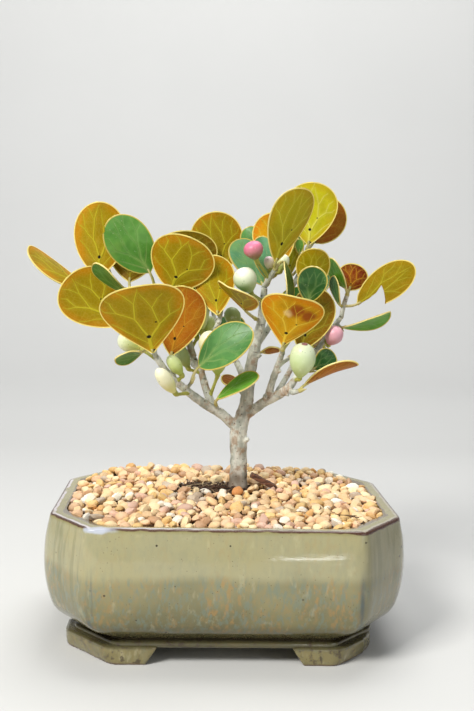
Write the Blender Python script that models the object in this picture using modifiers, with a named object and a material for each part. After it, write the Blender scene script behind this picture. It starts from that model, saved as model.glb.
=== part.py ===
"""A mistletoe fig bonsai (Ficus deltoidea) in its glazed and footed pot, at its real size.

The frame is +Z up, with the origin on the ground under the middle of the pot: X runs along the
pot's length and -Y is its front. The sizes and the tables of branches, leaves and figs are in
millimetres, as points (x, y, z), and the functions that make meshes turn them into metres.
"""

import math
import random
from collections import namedtuple

import bmesh
import bpy
from mathutils import Matrix, Vector

MM = 0.001
WELD = 1e-6
GAP = 0.3
SEED = 20

# The pot: an oblong with cut corners, measured at its rim.
RIM_HALF_LENGTH = 73.0
RIM_HALF_DEPTH = 59.0
CORNER_CUT = (18.3, 25.0)
CORNER_SOFTENING = 2.0
FOOT_HEIGHT = 6.6
FOOT_SUNK = 1.0
FOOT_FACE = (-5.0, -5.0)
FOOT_EXTRA_CUT = 3.0
FOOT_WIDTH = 9.0
FOOT_TUCK = 1.5
FOOT_SPACE_X = (32.5, 26.2)
FOOT_SPACE_Y = (23.0, 20.0)
FLOOR_TOP = 13.0
BASE_BLEND = (9.5, FLOOR_TOP)
BASE_TUCK = 4.0
BASE_CUT_LESS = 5.0
DRAIN_SPACING = 60.0
DRAIN_RADIUS = 6.0
TOOL_MARGIN = 1.0

# Heights above the ground, and how far the wall stands out from the rim's outline there.
WALL_OUTSIDE = [
    (FOOT_HEIGHT, -7.2), (7.0, -6.2), (9.4, -6.2), (10.0, -8.2), (12.2, -5.6), (15.8, -1.9),
    (22.0, 0.9), (29.0, 2.6), (37.5, 3.1), (46.5, 2.4), (53.4, 0.9), (56.1, 0.3), (56.9, -0.5),
]
WALL_INSIDE = [
    (57.1, -1.9), (56.8, -4.5), (55.6, -5.5), (46.0, -4.0), (30.0, -3.2), (19.0, -6.8),
    (FLOOR_TOP, -11.5),
]

# What fills the pot: a net over each drain hole, soil, and gravel with a bare patch by the trunk.
NET_SIZE = 20.0
NET_THICKNESS = 0.6
NET_HOLES = 3
NET_HOLE_SIZE = 4.8
NET_HOLE_PITCH = 6.2
WALL_CLEARANCE = 1.5 * GAP
SOIL_HEIGHTS = (14.1, 19.0, 30.0, 46.0, 49.0)
SOIL_TOP = SOIL_HEIGHTS[-1]
GRAVEL_EDGE = 55.0
ABOVE_BED = 75.0
BED_EDGE_TOP = 54.6
BED_RISE = 3.6
BED_CREST_Y = 8.0
PATCH_CENTRE = (-3.5, 9.5)
PATCH_HALF_SIZE = (17.5, 11.0)
PATCH_TOP = 58.0
PATCH_ROOT = 5.0
PATCH_SIDES = 24
BED_GRID = (8, 6)
BED_OVERHANG = 2.0
PEBBLE_RADII = (4.2, 5.8)
PEBBLE_NARROWNESS = (0.72, 0.95)
PEBBLE_FLATNESS = (0.6, 0.85)
PEBBLE_LEAN = 0.25
PEBBLE_LIFT = 0.3
PEBBLE_SPACING = 0.97
PEBBLE_TRIES = 5000
CHIP_SIZE = (13.0, 7.0, 2.4)
CHIP_PLACE = (17.8, 9.5)
CHIP_TILT = 28.0
CHIP_TURN = 6.0
CHIP_CLEARANCE = 9.5

# The trunk, from its stump in the soil to its top, and its branches, as (x, y, z, radius).
STUMP_BOTTOM = 36.0
STUMP_RADIUS = 4.9
STUMP_SIDES = 16
TRUNK = [
    (6.6, 11, STUMP_BOTTOM, 4.2), (6.6, 11, 54, STUMP_RADIUS), (6.6, 11, 59, 4.7), (6.6, 11, 63, 4.1),
    (6.6, 11, 73, 3.8), (6.2, 11, 84, 4.0), (7.6, 11, 90, 3.6), (9.6, 11, 98, 3.1),
    (10.3, 10.5, 106, 2.9), (11.3, 10, 115, 2.7), (13.3, 9, 126, 2.5), (15.3, 8, 135, 2.1),
    (15.8, 7.5, 143, 1.7), (16.4, 7, 151, 1.4),
]
BRANCHES = {
    "left_front": [
        (6.4, 11, 85, 2.2), (-1, 9, 92.5, 2.3), (-8, 5.5, 97, 2.1), (-15, 0, 102.5, 1.9),
        (-21, -5, 108, 1.7), (-27, -10, 114.5, 1.5), (-31, -14, 121, 1.4),
    ],
    "left_back": [
        (-5, 8, 94.5, 1.8), (-9, 11, 104, 1.8), (-11.5, 13, 112, 1.6), (-16, 14, 120, 1.3),
        (-18.5, 14, 128.5, 1.1),
    ],
    "left_middle": [(-11, 12.5, 111, 1.1), (-9, 10.5, 121, 1.1), (-6, 8, 130.5, 1.1), (-4, 5.5, 135, 1.0)],
    "right_front": [
        (9.2, 11, 91.5, 2.0), (16.5, 6.5, 98.5, 2.2), (22.5, 2, 102.5, 2.1), (27.5, -3, 107, 1.9),
        (31, -4, 112, 1.4), (35.5, 4, 116.5, 1.3), (43, 12, 125, 1.2), (49, 18, 132, 1.2),
        (53, 20, 137.5, 1.2),
    ],
    "right_twig": [
        (18.5, 5, 100, 1.6), (20.5, 1.5, 109, 1.6), (22.5, -2, 116.5, 1.4), (24, -6, 122.5, 1.2),
    ],
    "upper_right": [
        (13.2, 9.2, 124, 1.4), (19, 12, 132.5, 1.4), (26, 19, 144.5, 1.3), (32, 24.5, 154, 1.2),
        (35, 27, 160, 1.1),
    ],
    "back": [(10.3, 11, 104, 1.7), (6, 20, 114, 1.5), (0, 29, 124, 1.3), (-5, 34, 134, 1.1)],
    "back_left": [(-11.5, 13, 112, 1.2), (-17, 20, 116, 1.2), (-24, 27, 121, 1.1)],
    "back_right": [(22, 2.5, 102.3, 1.4), (28, 14, 110, 1.3), (34, 25, 119, 1.2), (38, 31, 126, 1.1)],
}

# A blade runs from base to tip. Its roll turns it about that line: at 0 its underside faces the
# front, at 180 its upper side does. The cup lifts its edges towards its upper side, the arch its
# middle, and a low taper makes it round where a high one makes it a fan. Its petiole starts at
# the twig's point of that number. A spray grows from a branch at a station, which counts along
# the branch's points, and its twig's points are (x, y, z, radius).
Leaf = namedtuple("Leaf", "node base tip width roll cup arch taper", defaults=(0, 1.5, 1.0, 0.9))
Spray = namedtuple("Spray", "branch station twig leaves colour")
AMBER = (0.62, 0.36, 0.03)
GREEN = (0.12, 0.26, 0.07)
RUSSET = (0.42, 0.13, 0.04)
BLADE_THICKNESS = 0.8
BLADE_ROWS = 6
BLADE_COLUMNS = 2
BLADE_ROW_CROWDING = 1.8
BLADE_FOOT = 0.6
PETIOLE_RADIUS = 0.75
PETIOLE_TAPER = 0.25
PETIOLE_PARTS = (0.0, 0.55, 1.0)
PETIOLE_KNEE = 0.4
PETIOLE_OVERLAP = 2.0
SPRAYS = {
    "spray_left_front": Spray(
        "left_front", 6, [(-32, -14, 126, 1.1), (-35, -10, 134, 1.0), (-39, -7, 142, 0.9)],
        [
            Leaf(1, (-32.2, -17.5, 122.8), (-38.6, -33, 151.4), 35.5, -4, 2.0, 0.5, 1.1),
            Leaf(2, (-49, -6, 133), (-69, -8, 155), 26, 6),
            Leaf(3, (-43.6, -12, 147.6), (-57, -19, 160.4), 14.5, 115, 0.5),
            Leaf(1, (-37, -13, 122.5), (-48.5, -17, 119.5), 11, 120, 0.5, 0.5),
        ],
        AMBER,
    ),
    "spray_left_inner": Spray(
        "left_front", 4.3, [(-24, -1, 113, 1.0)],
        [Leaf(1, (-25, 1.6, 120), (-18.5, 0.1, 151), 22, 0)],
        AMBER,
    ),
    "spray_upper_left": Spray(
        "left_back", 4, [(-24, 14, 136, 1.1), (-33, 14, 143, 1.0), (-44, 14, 148, 0.9), (-54, 12.5, 151, 0.9)],
        [
            Leaf(2, (-35.2, 10, 156.6), (-52, 3, 180.6), 20, 180, 1.0, 1.0, 0.7),
            Leaf(3, (-45, 18, 152), (-43, 23, 173), 22, 0),
            Leaf(4, (-58.4, 13, 155), (-58.4, 15, 188), 23, 0, 1.5, 1.0, 0.7),
            Leaf(4, (-62, 10, 148), (-89, 6, 167), 15, 65, 1.0, 1.5),
        ],
        AMBER,
    ),
    "spray_upper_middle": Spray(
        "left_back", 2.6, [(-17, 10, 127, 1.1), (-21, 10, 136, 1.0), (-24.5, 10, 145, 0.9)],
        [
            Leaf(3, (-25.5, 5, 149), (-17, -3, 172.5), 28.5, 0, 1.5, 1.0, 0.7),
            Leaf(3, (-19, 17, 153), (-20, 16, 176), 29, 0, 1.5, 1.0, 0.7),
        ],
        AMBER,
    ),
    "spray_middle": Spray(
        "left_middle", 3, [(-2.5, 9, 142, 1.0), (0, 15, 150, 0.9), (1.5, 20, 156, 0.8)],
        [
            Leaf(1, (-4.6, 2.2, 138.5), (-7.6, 5.6, 165), 18.5, 0),
            Leaf(3, (-1.8, 22, 158), (-8, 24, 185), 24, 0, 1.5, 1.0, 0.7),
            Leaf(3, (-4, 28, 163), (-14, 32, 181), 12, 200, 1.0),
        ],
        AMBER,
    ),
    "spray_centre": Spray(
        "trunk", 13, [(18.5, 3.5, 155.5, 1.2), (20.5, 0, 159.5, 1.1)],
        [
            Leaf(2, (20.2, -3, 162.5), (31.2, -14, 194), 21, 35),
            Leaf(1, (23, 15, 161), (19, 17, 185), 19, 0, 1.5, 1.0, 0.7),
            Leaf(1, (18, 20, 163), (8, 23, 178), 11, 180, 1.0),
            Leaf(1, (16, 13, 152), (3, 17, 172), 15, 200, 1.0),
            Leaf(1, (17.5, 8.5, 155), (14.5, 9, 174), 10, 180, 1.0),
            Leaf(2, (24.5, 1, 163), (27, 0, 144), 11, 112, 0.5),
        ],
        AMBER,
    ),
    "spray_top_right": Spray(
        "upper_right", 4, [(36.5, 28.5, 165, 1.0), (37.5, 29.5, 169, 0.9)],
        [
            Leaf(2, (38, 29.5, 171), (40.4, 29, 200.2), 24, 0),
            Leaf(2, (41, 35, 172), (52, 39, 193), 20, 0, 1.5, 1.0, 0.7),
            Leaf(1, (29, 22, 157), (30, 21, 173.5), 10, 30, 0.5),
            Leaf(1, (33, 22, 167), (32.6, 21, 173.6), 4.4, 200, 0.3, 0.3),
            Leaf(1, (37, 44, 171), (40, 50, 194), 20, 180),
        ],
        AMBER,
    ),
    "spray_right_inner": Spray(
        "upper_right", 2.2, [(30, 15, 145, 1.0), (34, 12, 146, 0.9)],
        [
            Leaf(2, (38, 16, 149), (39.5, 9, 169), 15, 0, 2.0, 1.5, 0.7),
        ],
        AMBER,
    ),
    "spray_right": Spray(
        "right_front", 8, [(54.5, 21.5, 143, 1.1), (56, 22, 148, 1.0)],
        [
            Leaf(2, (57.5, 26, 150), (61, 28, 162.5), 14, 0, 0.5, 0.5, 0.7),
            Leaf(1, (60.6, 20, 143.8), (86.6, 20, 162.4), 16, 0, 1.0, 1.0, 0.7),
            Leaf(2, (55, 19, 151), (47, 16, 165), 11, 115, 0.5),
            Leaf(1, (52.5, 20, 143), (49, 18, 157), 8, 110, 0.5, 0.5),
        ],
        AMBER,
    ),
    "spray_right_front": Spray(
        "right_twig", 3, [(24, -8, 124.5, 1.1)],
        [
            Leaf(1, (23.8, -10, 126.4), (28, -26, 148), 27, 0, 2.5, 1.0, 1.1),
            Leaf(1, (35.6, 1, 144.5), (37.6, -3, 161), 13, 180, 1.0),
        ],
        AMBER,
    ),
    "spray_right_behind": Spray(
        "right_twig", 2, [(28, -1, 120.5, 1.0)],
        [Leaf(1, (32.4, -1, 123.6), (42, 5.5, 151), 20, 0)],
        AMBER,
    ),
    "spray_right_low": Spray(
        "right_front", 3, [(29, -7, 105.5, 1.2), (32, -8.5, 106.5, 1.0)],
        [Leaf(2, (34, -8, 109), (57, -12, 119), 14, 65, 1.0, 1.5)],
        RUSSET,
    ),
    "leaf_right_green": Spray(
        "right_front", 7.5, [(52.5, 16, 133, 0.9)],
        [Leaf(1, (53, 14, 133.2), (74, 8, 141.2), 15, 245, 2.0)],
        GREEN,
    ),
    "leaf_right_shade": Spray(
        "right_front", 4.6, [(37, -1, 114.5, 0.8)],
        [Leaf(1, (38.6, 0, 115.3), (48.2, 2, 122.3), 10, 180, 0.5, 0.5)],
        GREEN,
    ),
    "leaf_middle_front": Spray(
        "trunk", 11.1, [(12.5, 4, 137, 0.9)],
        [Leaf(1, (7.4, 0, 141), (-0.6, -18, 151.4), 20, -64, 1.5, 1.0, 0.7)],
        AMBER,
    ),
    "leaf_low_front": Spray(
        "left_front", 3.5, [(-15.5, -4.5, 109, 0.8)],
        [Leaf(1, (-12.5, -5.5, 116), (10.5, -12, 133), 18.5, 145, 1.5, 1.5, 0.7)],
        GREEN,
    ),
    "leaf_fork": Spray(
        "left_front", 1.3, [(-4.5, 4, 98, 0.8)],
        [Leaf(1, (-4, 1, 101), (14, -8, 112.5), 11, 118, 0.8)],
        GREEN,
    ),
    "leaf_behind_fork": Spray(
        "back", 0.5, [(7, 19, 106.5, 0.8)],
        [Leaf(1, (7, 20, 106.5), (-2, 21, 108.5), 8, 60, 0.3, 0.3)],
        RUSSET,
    ),
    "leaf_behind_stem": Spray(
        "trunk", 9.6, [(14.5, 15, 121, 0.8)],
        [Leaf(1, (16, 16, 121), (25, 16, 122), 7, 60, 0.3, 0.3)],
        RUSSET,
    ),
    "spray_back_left": Spray(
        "back_left", 2, [(-30, 29, 128, 1.0), (-38, 30, 138, 0.9), (-48, 32, 148, 0.9)],
        [
            Leaf(1, (-29, 33, 126), (-36, 42, 147), 22, 180),
            Leaf(2, (-56, 26, 135), (-68, 33, 153), 19, 180),
            Leaf(3, (-56, 34, 158), (-59, 41, 183), 20, 180, 1.5, 1.0, 0.7),
        ],
        AMBER,
    ),
    "spray_back_middle": Spray(
        "back", 3, [(-7, 36, 142, 1.0), (-8, 38, 149, 0.9)],
        [
            Leaf(1, (-8, 41, 139), (-9, 49, 163), 21, 180),
            Leaf(2, (-16, 38, 152), (-25, 44, 174), 22, 180, 1.5, 1.0, 0.7),
            Leaf(2, (-1, 40, 160), (-4, 46, 181), 18, 180),
        ],
        AMBER,
    ),
    "leaf_back_low": Spray(
        "back", 1.8, [(3, 33, 119, 0.8)],
        [Leaf(1, (3, 35, 121), (1, 44, 136), 16, 180)],
        AMBER,
    ),
    "spray_back_right": Spray(
        "back_right", 3, [(39, 34, 133, 1.0), (41, 36, 141, 0.9)],
        [
            Leaf(1, (38, 37, 129), (36, 46, 151), 21, 180),
            Leaf(2, (44, 39, 146), (46, 46, 164), 14, 180),
        ],
        AMBER,
    ),
}

# A fig's stalk leaves its branch, trunk or spray at a station. Its body runs from neck to apex.
Fig = namedtuple("Fig", "branch station neck apex radius colour")
PALE = (0.62, 0.72, 0.42)
DULL = (0.36, 0.45, 0.2)
PINK = (0.68, 0.25, 0.31)
STALK_RADIUS = 0.8
STALK_INSIDE = 0.12
FIG_STEPS = 8
FIG_PROFILE = [(0.0, 0.0), (0.42, 0.14), (0.84, 0.36), (1.0, 0.6), (0.8, 0.86), (0.35, 1.0), (0.0, 0.96)]
FIGS = [
    Fig("left_front", 5.6, (-38, -5.5, 123.5), (-47, 1, 128.5), 5.2, PALE),
    Fig("left_front", 3.2, (-22, -13, 104.5), (-30, -21.5, 116), 3.3, PALE),
    Fig("left_front", 4.2, (-19.5, -9, 112), (-25.5, -12, 121), 3.0, PALE),
    Fig("left_back", 1.9, (-17, 11, 113), (-22, 9, 124), 3.2, DULL),
    Fig("left_middle", 1.3, (-11.5, 9.5, 129.5), (-11, 8.5, 147.5), 3.2, PALE),
    Fig("left_back", 3.2, (-13.5, 13, 127), (-15, 14, 137), 2.8, PALE),
    Fig("left_middle", 1.5, (-9, 14, 129), (-8.5, 17.5, 137), 3.4, DULL),
    Fig("left_middle", 0.5, (-9, 5, 119), (-7.5, 0, 131), 4.6, PALE),
    Fig("trunk", 10.2, (5, 15, 132), (1, 18, 141), 3.8, DULL),
    Fig("trunk", 12.2, (10, -3, 148.5), (5, -7.5, 159), 5.2, PALE),
    Fig("spray_centre", 0.9, (12, -2, 163), (9.5, -4.5, 171), 4.4, PINK),
    Fig("spray_centre", 1.1, (18.5, 4.2, 158.5), (17.5, 4, 165), 2.3, PALE),
    Fig("spray_centre", 1.2, (23, 5.5, 158), (25.2, 6.5, 166), 2.9, PALE),
    Fig("right_front", 3.7, (31.5, -9, 111.5), (33, -14, 127.5), 5.7, PALE),
    Fig("right_front", 6.4, (46.2, 10, 125), (50.5, 7.5, 133.8), 4.3, PINK),
    Fig("left_back", 0.6, (-4, 6.5, 110.5), (-4, 4, 121), 3.7, DULL),
    Fig("right_front", 6.2, (46, 16, 121), (47, 17, 116.5), 1.6, PALE),
    Fig("back", 2.3, (-6, 36, 121), (-9, 42, 113), 4.4, DULL),
    Fig("back_left", 1.5, (-20, 31, 116), (-24, 37, 122), 4.0, PALE),
    Fig("back_right", 2.4, (40, 24, 123), (47, 28, 129), 4.4, PINK),
]


def mm(values):
    """A point of the tables, in metres."""
    return Vector(values[:3]) * MM


def finish(body, name, colour, roughness):
    """Gives the body one material, whatever slots its tools left it."""
    made = bpy.data.materials.new(name)
    made.use_nodes = True
    shader = made.node_tree.nodes["Principled BSDF"]
    shader.inputs["Base Color"].default_value = (*colour, 1.0)
    shader.inputs["Roughness"].default_value = roughness
    shader.inputs["Metallic"].default_value = 0.0
    body.data.materials.clear()
    body.data.materials.append(made)
    return body


def add_object(name, mesh, collection):
    made = bpy.data.objects.new(name, mesh)
    collection.objects.link(made)
    return made


def mesh_from(bm, name):
    mesh = bpy.data.meshes.new(name)
    bm.to_mesh(mesh)
    bm.free()
    return mesh


def baked(source):
    """The object's mesh with its modifiers applied and its loose caps welded."""
    graph = bpy.context.evaluated_depsgraph_get()
    mesh = bpy.data.meshes.new_from_object(source.evaluated_get(graph))
    bm = bmesh.new()
    bm.from_mesh(mesh)
    bmesh.ops.remove_doubles(bm, verts=bm.verts, dist=WELD)
    bm.to_mesh(mesh)
    bm.free()
    return mesh


def boolean(body, others, operation, collection, solver="EXACT"):
    """Applies one Boolean of all the other objects to the body, and removes them."""
    tools = bpy.data.collections.new("tools")
    bpy.context.scene.collection.children.link(tools)
    for other in others:
        collection.objects.unlink(other)
        tools.objects.link(other)
    modifier = body.modifiers.new("boolean", "BOOLEAN")
    modifier.operation = operation
    modifier.operand_type = "COLLECTION"
    modifier.collection = tools
    modifier.solver = solver
    mesh = baked(body)
    body.modifiers.clear()
    body.data = mesh
    for other in others:
        bpy.data.objects.remove(other)
    bpy.data.collections.remove(tools)
    return body


def between(table, height):
    """The offset that a table of (height, offset) rows gives at a height."""
    rows = sorted(table)
    for (low, first), (high, second) in zip(rows, rows[1:]):
        if low <= height <= high:
            return first + (second - first) * (height - low) / (high - low)
    raise ValueError(f"no row of the table holds the height {height}")


def outline(height, offset, extra_cut=0.0, tuck=BASE_TUCK):
    """The pot's outline at a height: an oblong with its four corners cut off, moved out by the offset.

    The cut is as wide as the rim's, and wider where the belly stands out past the rim. The base is
    tucked in at its ends, and less of its corners is cut off.
    """
    low, high = BASE_BLEND
    base = max(0.0, min(1.0, (high - height) / (high - low)))
    half_x = RIM_HALF_LENGTH + offset - tuck * base
    half_y = RIM_HALF_DEPTH + offset
    more = max(0.0, offset) + extra_cut
    cut_x = CORNER_CUT[0] + more
    cut_y = CORNER_CUT[1] + more - BASE_CUT_LESS * base
    quarter = [Vector((half_x, half_y - cut_y)), Vector((half_x - cut_x, half_y))]
    half = quarter + [Vector((-p.x, p.y)) for p in reversed(quarter)]
    corners = half + [-p for p in half]
    points = []
    for index, corner in enumerate(corners):
        before = (corners[index - 1] - corner).normalized() * CORNER_SOFTENING
        after = (corners[(index + 1) % len(corners)] - corner).normalized() * CORNER_SOFTENING
        for point in (corner + before, corner + after):
            points.append(mm((point.x, point.y, height)))
    return points


def loft(name, rings, collection):
    """A closed body through rings of as many points each, flat at both ends."""
    bm = bmesh.new()
    loops = []
    for ring in rings:
        verts = [bm.verts.new(point) for point in ring]
        edges = [bm.edges.new((vert, verts[index - 1])) for index, vert in enumerate(verts)]
        loops.append((verts, edges))
    for (_, lower), (_, upper) in zip(loops, loops[1:]):
        bmesh.ops.bridge_loops(bm, edges=lower + upper)
    bm.faces.new(loops[0][0])
    bm.faces.new(loops[-1][0])
    bmesh.ops.recalc_face_normals(bm, faces=bm.faces)
    return add_object(name, mesh_from(bm, name), collection)


def box(name, size, centre, collection, flare=(1.0, 1.0)):
    """A box in millimetres, with its lower face scaled in X and Y by the flare."""
    bm = bmesh.new()
    bmesh.ops.create_cube(bm, size=1.0)
    for vert in bm.verts:
        low = vert.co.z < 0
        vert.co.x *= size[0] * (flare[0] if low else 1.0)
        vert.co.y *= size[1] * (flare[1] if low else 1.0)
        vert.co.z *= size[2]
        vert.co = (vert.co + Vector(centre)) * MM
    return add_object(name, mesh_from(bm, name), collection)


def cylinder(name, radii, low, high, centre, collection, sides=32):
    """An upright cylinder with half axes of two lengths, between two heights."""
    bm = bmesh.new()
    bmesh.ops.create_cone(
        bm, cap_ends=True, segments=sides, radius1=1.0, radius2=1.0, depth=high - low
    )
    for vert in bm.verts:
        place = (vert.co.x * radii[0] + centre[0], vert.co.y * radii[1] + centre[1])
        vert.co = mm((*place, vert.co.z + (low + high) / 2))
    return add_object(name, mesh_from(bm, name), collection)


def tube(name, points, collection, roundness=1):
    """A tapering round stem through points (x, y, z, radius), as a mesh with welded caps."""
    curve = bpy.data.curves.new(name, "CURVE")
    curve.dimensions = "3D"
    curve.bevel_depth = MM
    curve.bevel_resolution = roundness
    curve.use_fill_caps = True
    spline = curve.splines.new("POLY")
    spline.points.add(len(points) - 1)
    for target, point in zip(spline.points, points):
        target.co = (*mm(point), 1.0)
        target.radius = point[3]
    guide = add_object(name + "_curve", curve, collection)
    mesh = baked(guide)
    made = add_object(name, mesh, collection)
    made.matrix_world = guide.matrix_world
    bpy.data.objects.remove(guide)
    return made


def make_pot(collection):
    """The pot, fired in one piece: wall, floor with two drain holes, and a foot at each corner."""
    profile = WALL_OUTSIDE + WALL_INSIDE
    pot = loft("pot", [outline(height, offset) for height, offset in profile], collection)
    sunk = FOOT_HEIGHT + FOOT_SUNK
    soles = outline(0, FOOT_FACE[0], FOOT_EXTRA_CUT, FOOT_TUCK)
    feet = loft("feet", [soles, outline(sunk, FOOT_FACE[1], 0.0, FOOT_TUCK)], collection)
    inner = FOOT_FACE[0] - FOOT_WIDTH
    rings = [outline(height, inner, 0.0, FOOT_TUCK) for height in (-TOOL_MARGIN, sunk + TOOL_MARGIN)]
    hollow = loft("hollow", rings, collection)
    reach = 2 * (RIM_HALF_LENGTH + RIM_HALF_DEPTH)
    height = 2 * sunk
    wide = (FOOT_SPACE_X[0] / FOOT_SPACE_X[1], 1.0)
    deep = (1.0, FOOT_SPACE_Y[0] / FOOT_SPACE_Y[1])
    middle = (0, 0, sunk - TOOL_MARGIN)
    through = box("through", (2 * FOOT_SPACE_X[1], reach, height), middle, collection, wide)
    along = box("along", (reach, 2 * FOOT_SPACE_Y[1], height), middle, collection, deep)
    boolean(feet, [hollow, through, along], "DIFFERENCE", collection)
    boolean(pot, [feet], "UNION", collection)
    drains = [
        cylinder(
            "drain", (DRAIN_RADIUS, DRAIN_RADIUS), 0, FLOOR_TOP + TOOL_MARGIN, (side, 0), collection
        )
        for side in (-DRAIN_SPACING / 2, DRAIN_SPACING / 2)
    ]
    boolean(pot, drains, "DIFFERENCE", collection)
    return finish(pot, "celadon glaze", (0.42, 0.4, 0.24), 0.2)


def make_net(name, place_x, collection):
    """A square of plastic net that lies over a drain hole and holds the soil back."""
    middle = FLOOR_TOP + GAP + NET_THICKNESS / 2
    net = box(name, (NET_SIZE, NET_SIZE, NET_THICKNESS), (place_x, 0, middle), collection)
    steps = [(step - (NET_HOLES - 1) / 2) * NET_HOLE_PITCH for step in range(NET_HOLES)]
    size = (NET_HOLE_SIZE, NET_HOLE_SIZE, 4 * NET_THICKNESS)
    holes = [box("hole", size, (place_x + x, y, middle), collection) for x in steps for y in steps]
    boolean(net, holes, "DIFFERENCE", collection)
    return finish(net, name, (0.03, 0.03, 0.03), 0.6)


def inside_rings(heights):
    """Outlines that keep just clear of the pot's inner wall, at each height."""
    return [outline(height, between(WALL_INSIDE, height) - WALL_CLEARANCE) for height in heights]


def make_soil(collection):
    """The soil: it fills the pot, shows through the gravel in one patch, and holds the stump."""
    soil = loft("soil", inside_rings(SOIL_HEIGHTS), collection)
    low = SOIL_TOP - PATCH_ROOT
    patch = cylinder("patch", PATCH_HALF_SIZE, low, PATCH_TOP, PATCH_CENTRE, collection, PATCH_SIDES)
    boolean(soil, [patch], "UNION", collection)
    radius = STUMP_RADIUS + GAP
    low = STUMP_BOTTOM - GAP
    hole = cylinder("hole", (radius, radius), low, ABOVE_BED, TRUNK[0], collection, STUMP_SIDES)
    boolean(soil, [hole], "DIFFERENCE", collection)
    return finish(soil, "soil", (0.035, 0.026, 0.02), 0.95)


def bed_top(x, y):
    """The height of the gravel bed, which rises a little from the rim towards the middle."""
    along = 1 - (x / RIM_HALF_LENGTH) ** 2
    across = 1 - ((y - BED_CREST_Y) / (RIM_HALF_DEPTH + BED_CREST_Y)) ** 2
    return BED_EDGE_TOP + BED_RISE * max(0.0, along) * max(0.0, across)


def wall_distance(x, y):
    """How far a point over the gravel is from the pot's inner wall."""
    inset = between(WALL_INSIDE, GRAVEL_EDGE)
    half_x = RIM_HALF_LENGTH + inset
    half_y = RIM_HALF_DEPTH + inset
    cut_x, cut_y = CORNER_CUT
    corner = (half_x - abs(x)) * cut_y + (half_y - abs(y)) * cut_x - cut_x * cut_y
    return min(half_x - abs(x), half_y - abs(y), corner / math.hypot(cut_x, cut_y))


def pebble_places():
    """Seeded places (x, y, radius) for pebbles that cover the bed, clear of patch and chip."""
    draw = random.Random(SEED)
    places = []
    for _ in range(PEBBLE_TRIES):
        x = draw.uniform(-RIM_HALF_LENGTH, RIM_HALF_LENGTH)
        y = draw.uniform(-RIM_HALF_DEPTH, RIM_HALF_DEPTH)
        radius = draw.uniform(*PEBBLE_RADII)
        away_x = (x - PATCH_CENTRE[0]) / (PATCH_HALF_SIZE[0] + radius)
        away_y = (y - PATCH_CENTRE[1]) / (PATCH_HALF_SIZE[1] + radius)
        if wall_distance(x, y) < radius + GAP or math.hypot(away_x, away_y) < 1:
            continue
        if math.dist((x, y), CHIP_PLACE) < CHIP_CLEARANCE:
            continue
        if all(math.dist((x, y), p[:2]) > PEBBLE_SPACING * (radius + p[2]) for p in places):
            places.append((x, y, radius))
    return places


def make_pebble(x, y, radius, draw, collection):
    bm = bmesh.new()
    bmesh.ops.create_icosphere(bm, subdivisions=1, radius=radius * MM)
    squash = Matrix.Diagonal((1.0, draw.uniform(*PEBBLE_NARROWNESS), draw.uniform(*PEBBLE_FLATNESS), 1.0))
    spin = Matrix.Rotation(draw.uniform(0, math.pi), 4, "Z")
    lean = Matrix.Rotation(draw.uniform(-PEBBLE_LEAN, PEBBLE_LEAN), 4, "X")
    place = Matrix.Translation(mm((x, y, bed_top(x, y) + PEBBLE_LIFT)))
    bm.transform(place @ spin @ lean @ squash)
    return add_object("pebble", mesh_from(bm, "pebble"), collection)


def make_gravel(collection):
    """The gravel: a domed bed of small stones, with pebbles standing out of it all over."""
    bottom = SOIL_TOP + GAP
    top = outline(ABOVE_BED, between(WALL_INSIDE, GRAVEL_EDGE) - WALL_CLEARANCE)
    block = loft("gravel", [*inside_rings((bottom, GRAVEL_EDGE)), top], collection)
    bm = bmesh.new()
    bmesh.ops.create_grid(bm, x_segments=BED_GRID[0], y_segments=BED_GRID[1], size=1.0)
    for vert in bm.verts:
        x = vert.co.x * (RIM_HALF_LENGTH + BED_OVERHANG)
        y = vert.co.y * (RIM_HALF_DEPTH + BED_OVERHANG)
        vert.co = mm((x, y, bed_top(x, y)))
    raised = bmesh.ops.extrude_face_region(bm, geom=bm.faces[:])["geom"]
    for vert in raised:
        if isinstance(vert, bmesh.types.BMVert):
            vert.co.z = (ABOVE_BED + BED_EDGE_TOP) * MM
    bmesh.ops.recalc_face_normals(bm, faces=bm.faces)
    above = add_object("above", mesh_from(bm, "above"), collection)
    radii = [half + GAP for half in PATCH_HALF_SIZE]
    low = bottom - TOOL_MARGIN
    patch = cylinder("patch", radii, low, ABOVE_BED + TOOL_MARGIN, PATCH_CENTRE, collection, PATCH_SIDES)
    boolean(block, [above, patch], "DIFFERENCE", collection)
    draw = random.Random(SEED + 1)
    pebbles = [make_pebble(x, y, radius, draw, collection) for x, y, radius in pebble_places()]
    boolean(block, pebbles, "UNION", collection, "MANIFOLD")
    return finish(block, "pea gravel", (0.62, 0.4, 0.2), 0.75)


def make_chip(collection):
    """A chip of bark that lies on the gravel and leans on the foot of the trunk."""
    length, _, thickness = CHIP_SIZE
    tilt = math.radians(CHIP_TILT)
    low_x = CHIP_PLACE[0] + length / 2 * math.cos(tilt)
    rise = length / 2 * math.sin(tilt) + thickness / 2 * math.cos(tilt)
    height = bed_top(low_x, CHIP_PLACE[1]) + GAP + rise
    chip = box("bark_chip", CHIP_SIZE, (0, 0, 0), collection)
    chip.location = mm((*CHIP_PLACE, height))
    chip.rotation_euler = (0.0, tilt, math.radians(CHIP_TURN))
    return finish(chip, "bark chip", (0.12, 0.055, 0.03), 0.85)


def make_trunk(collection):
    """The trunk with its stump and main branches, which grew as one piece."""
    trunk = tube("trunk", TRUNK, collection, 2)
    branches = [tube(name, points, collection) for name, points in BRANCHES.items()]
    boolean(trunk, branches, "UNION", collection)
    return finish(trunk, "bark", (0.36, 0.31, 0.25), 0.8)


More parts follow.
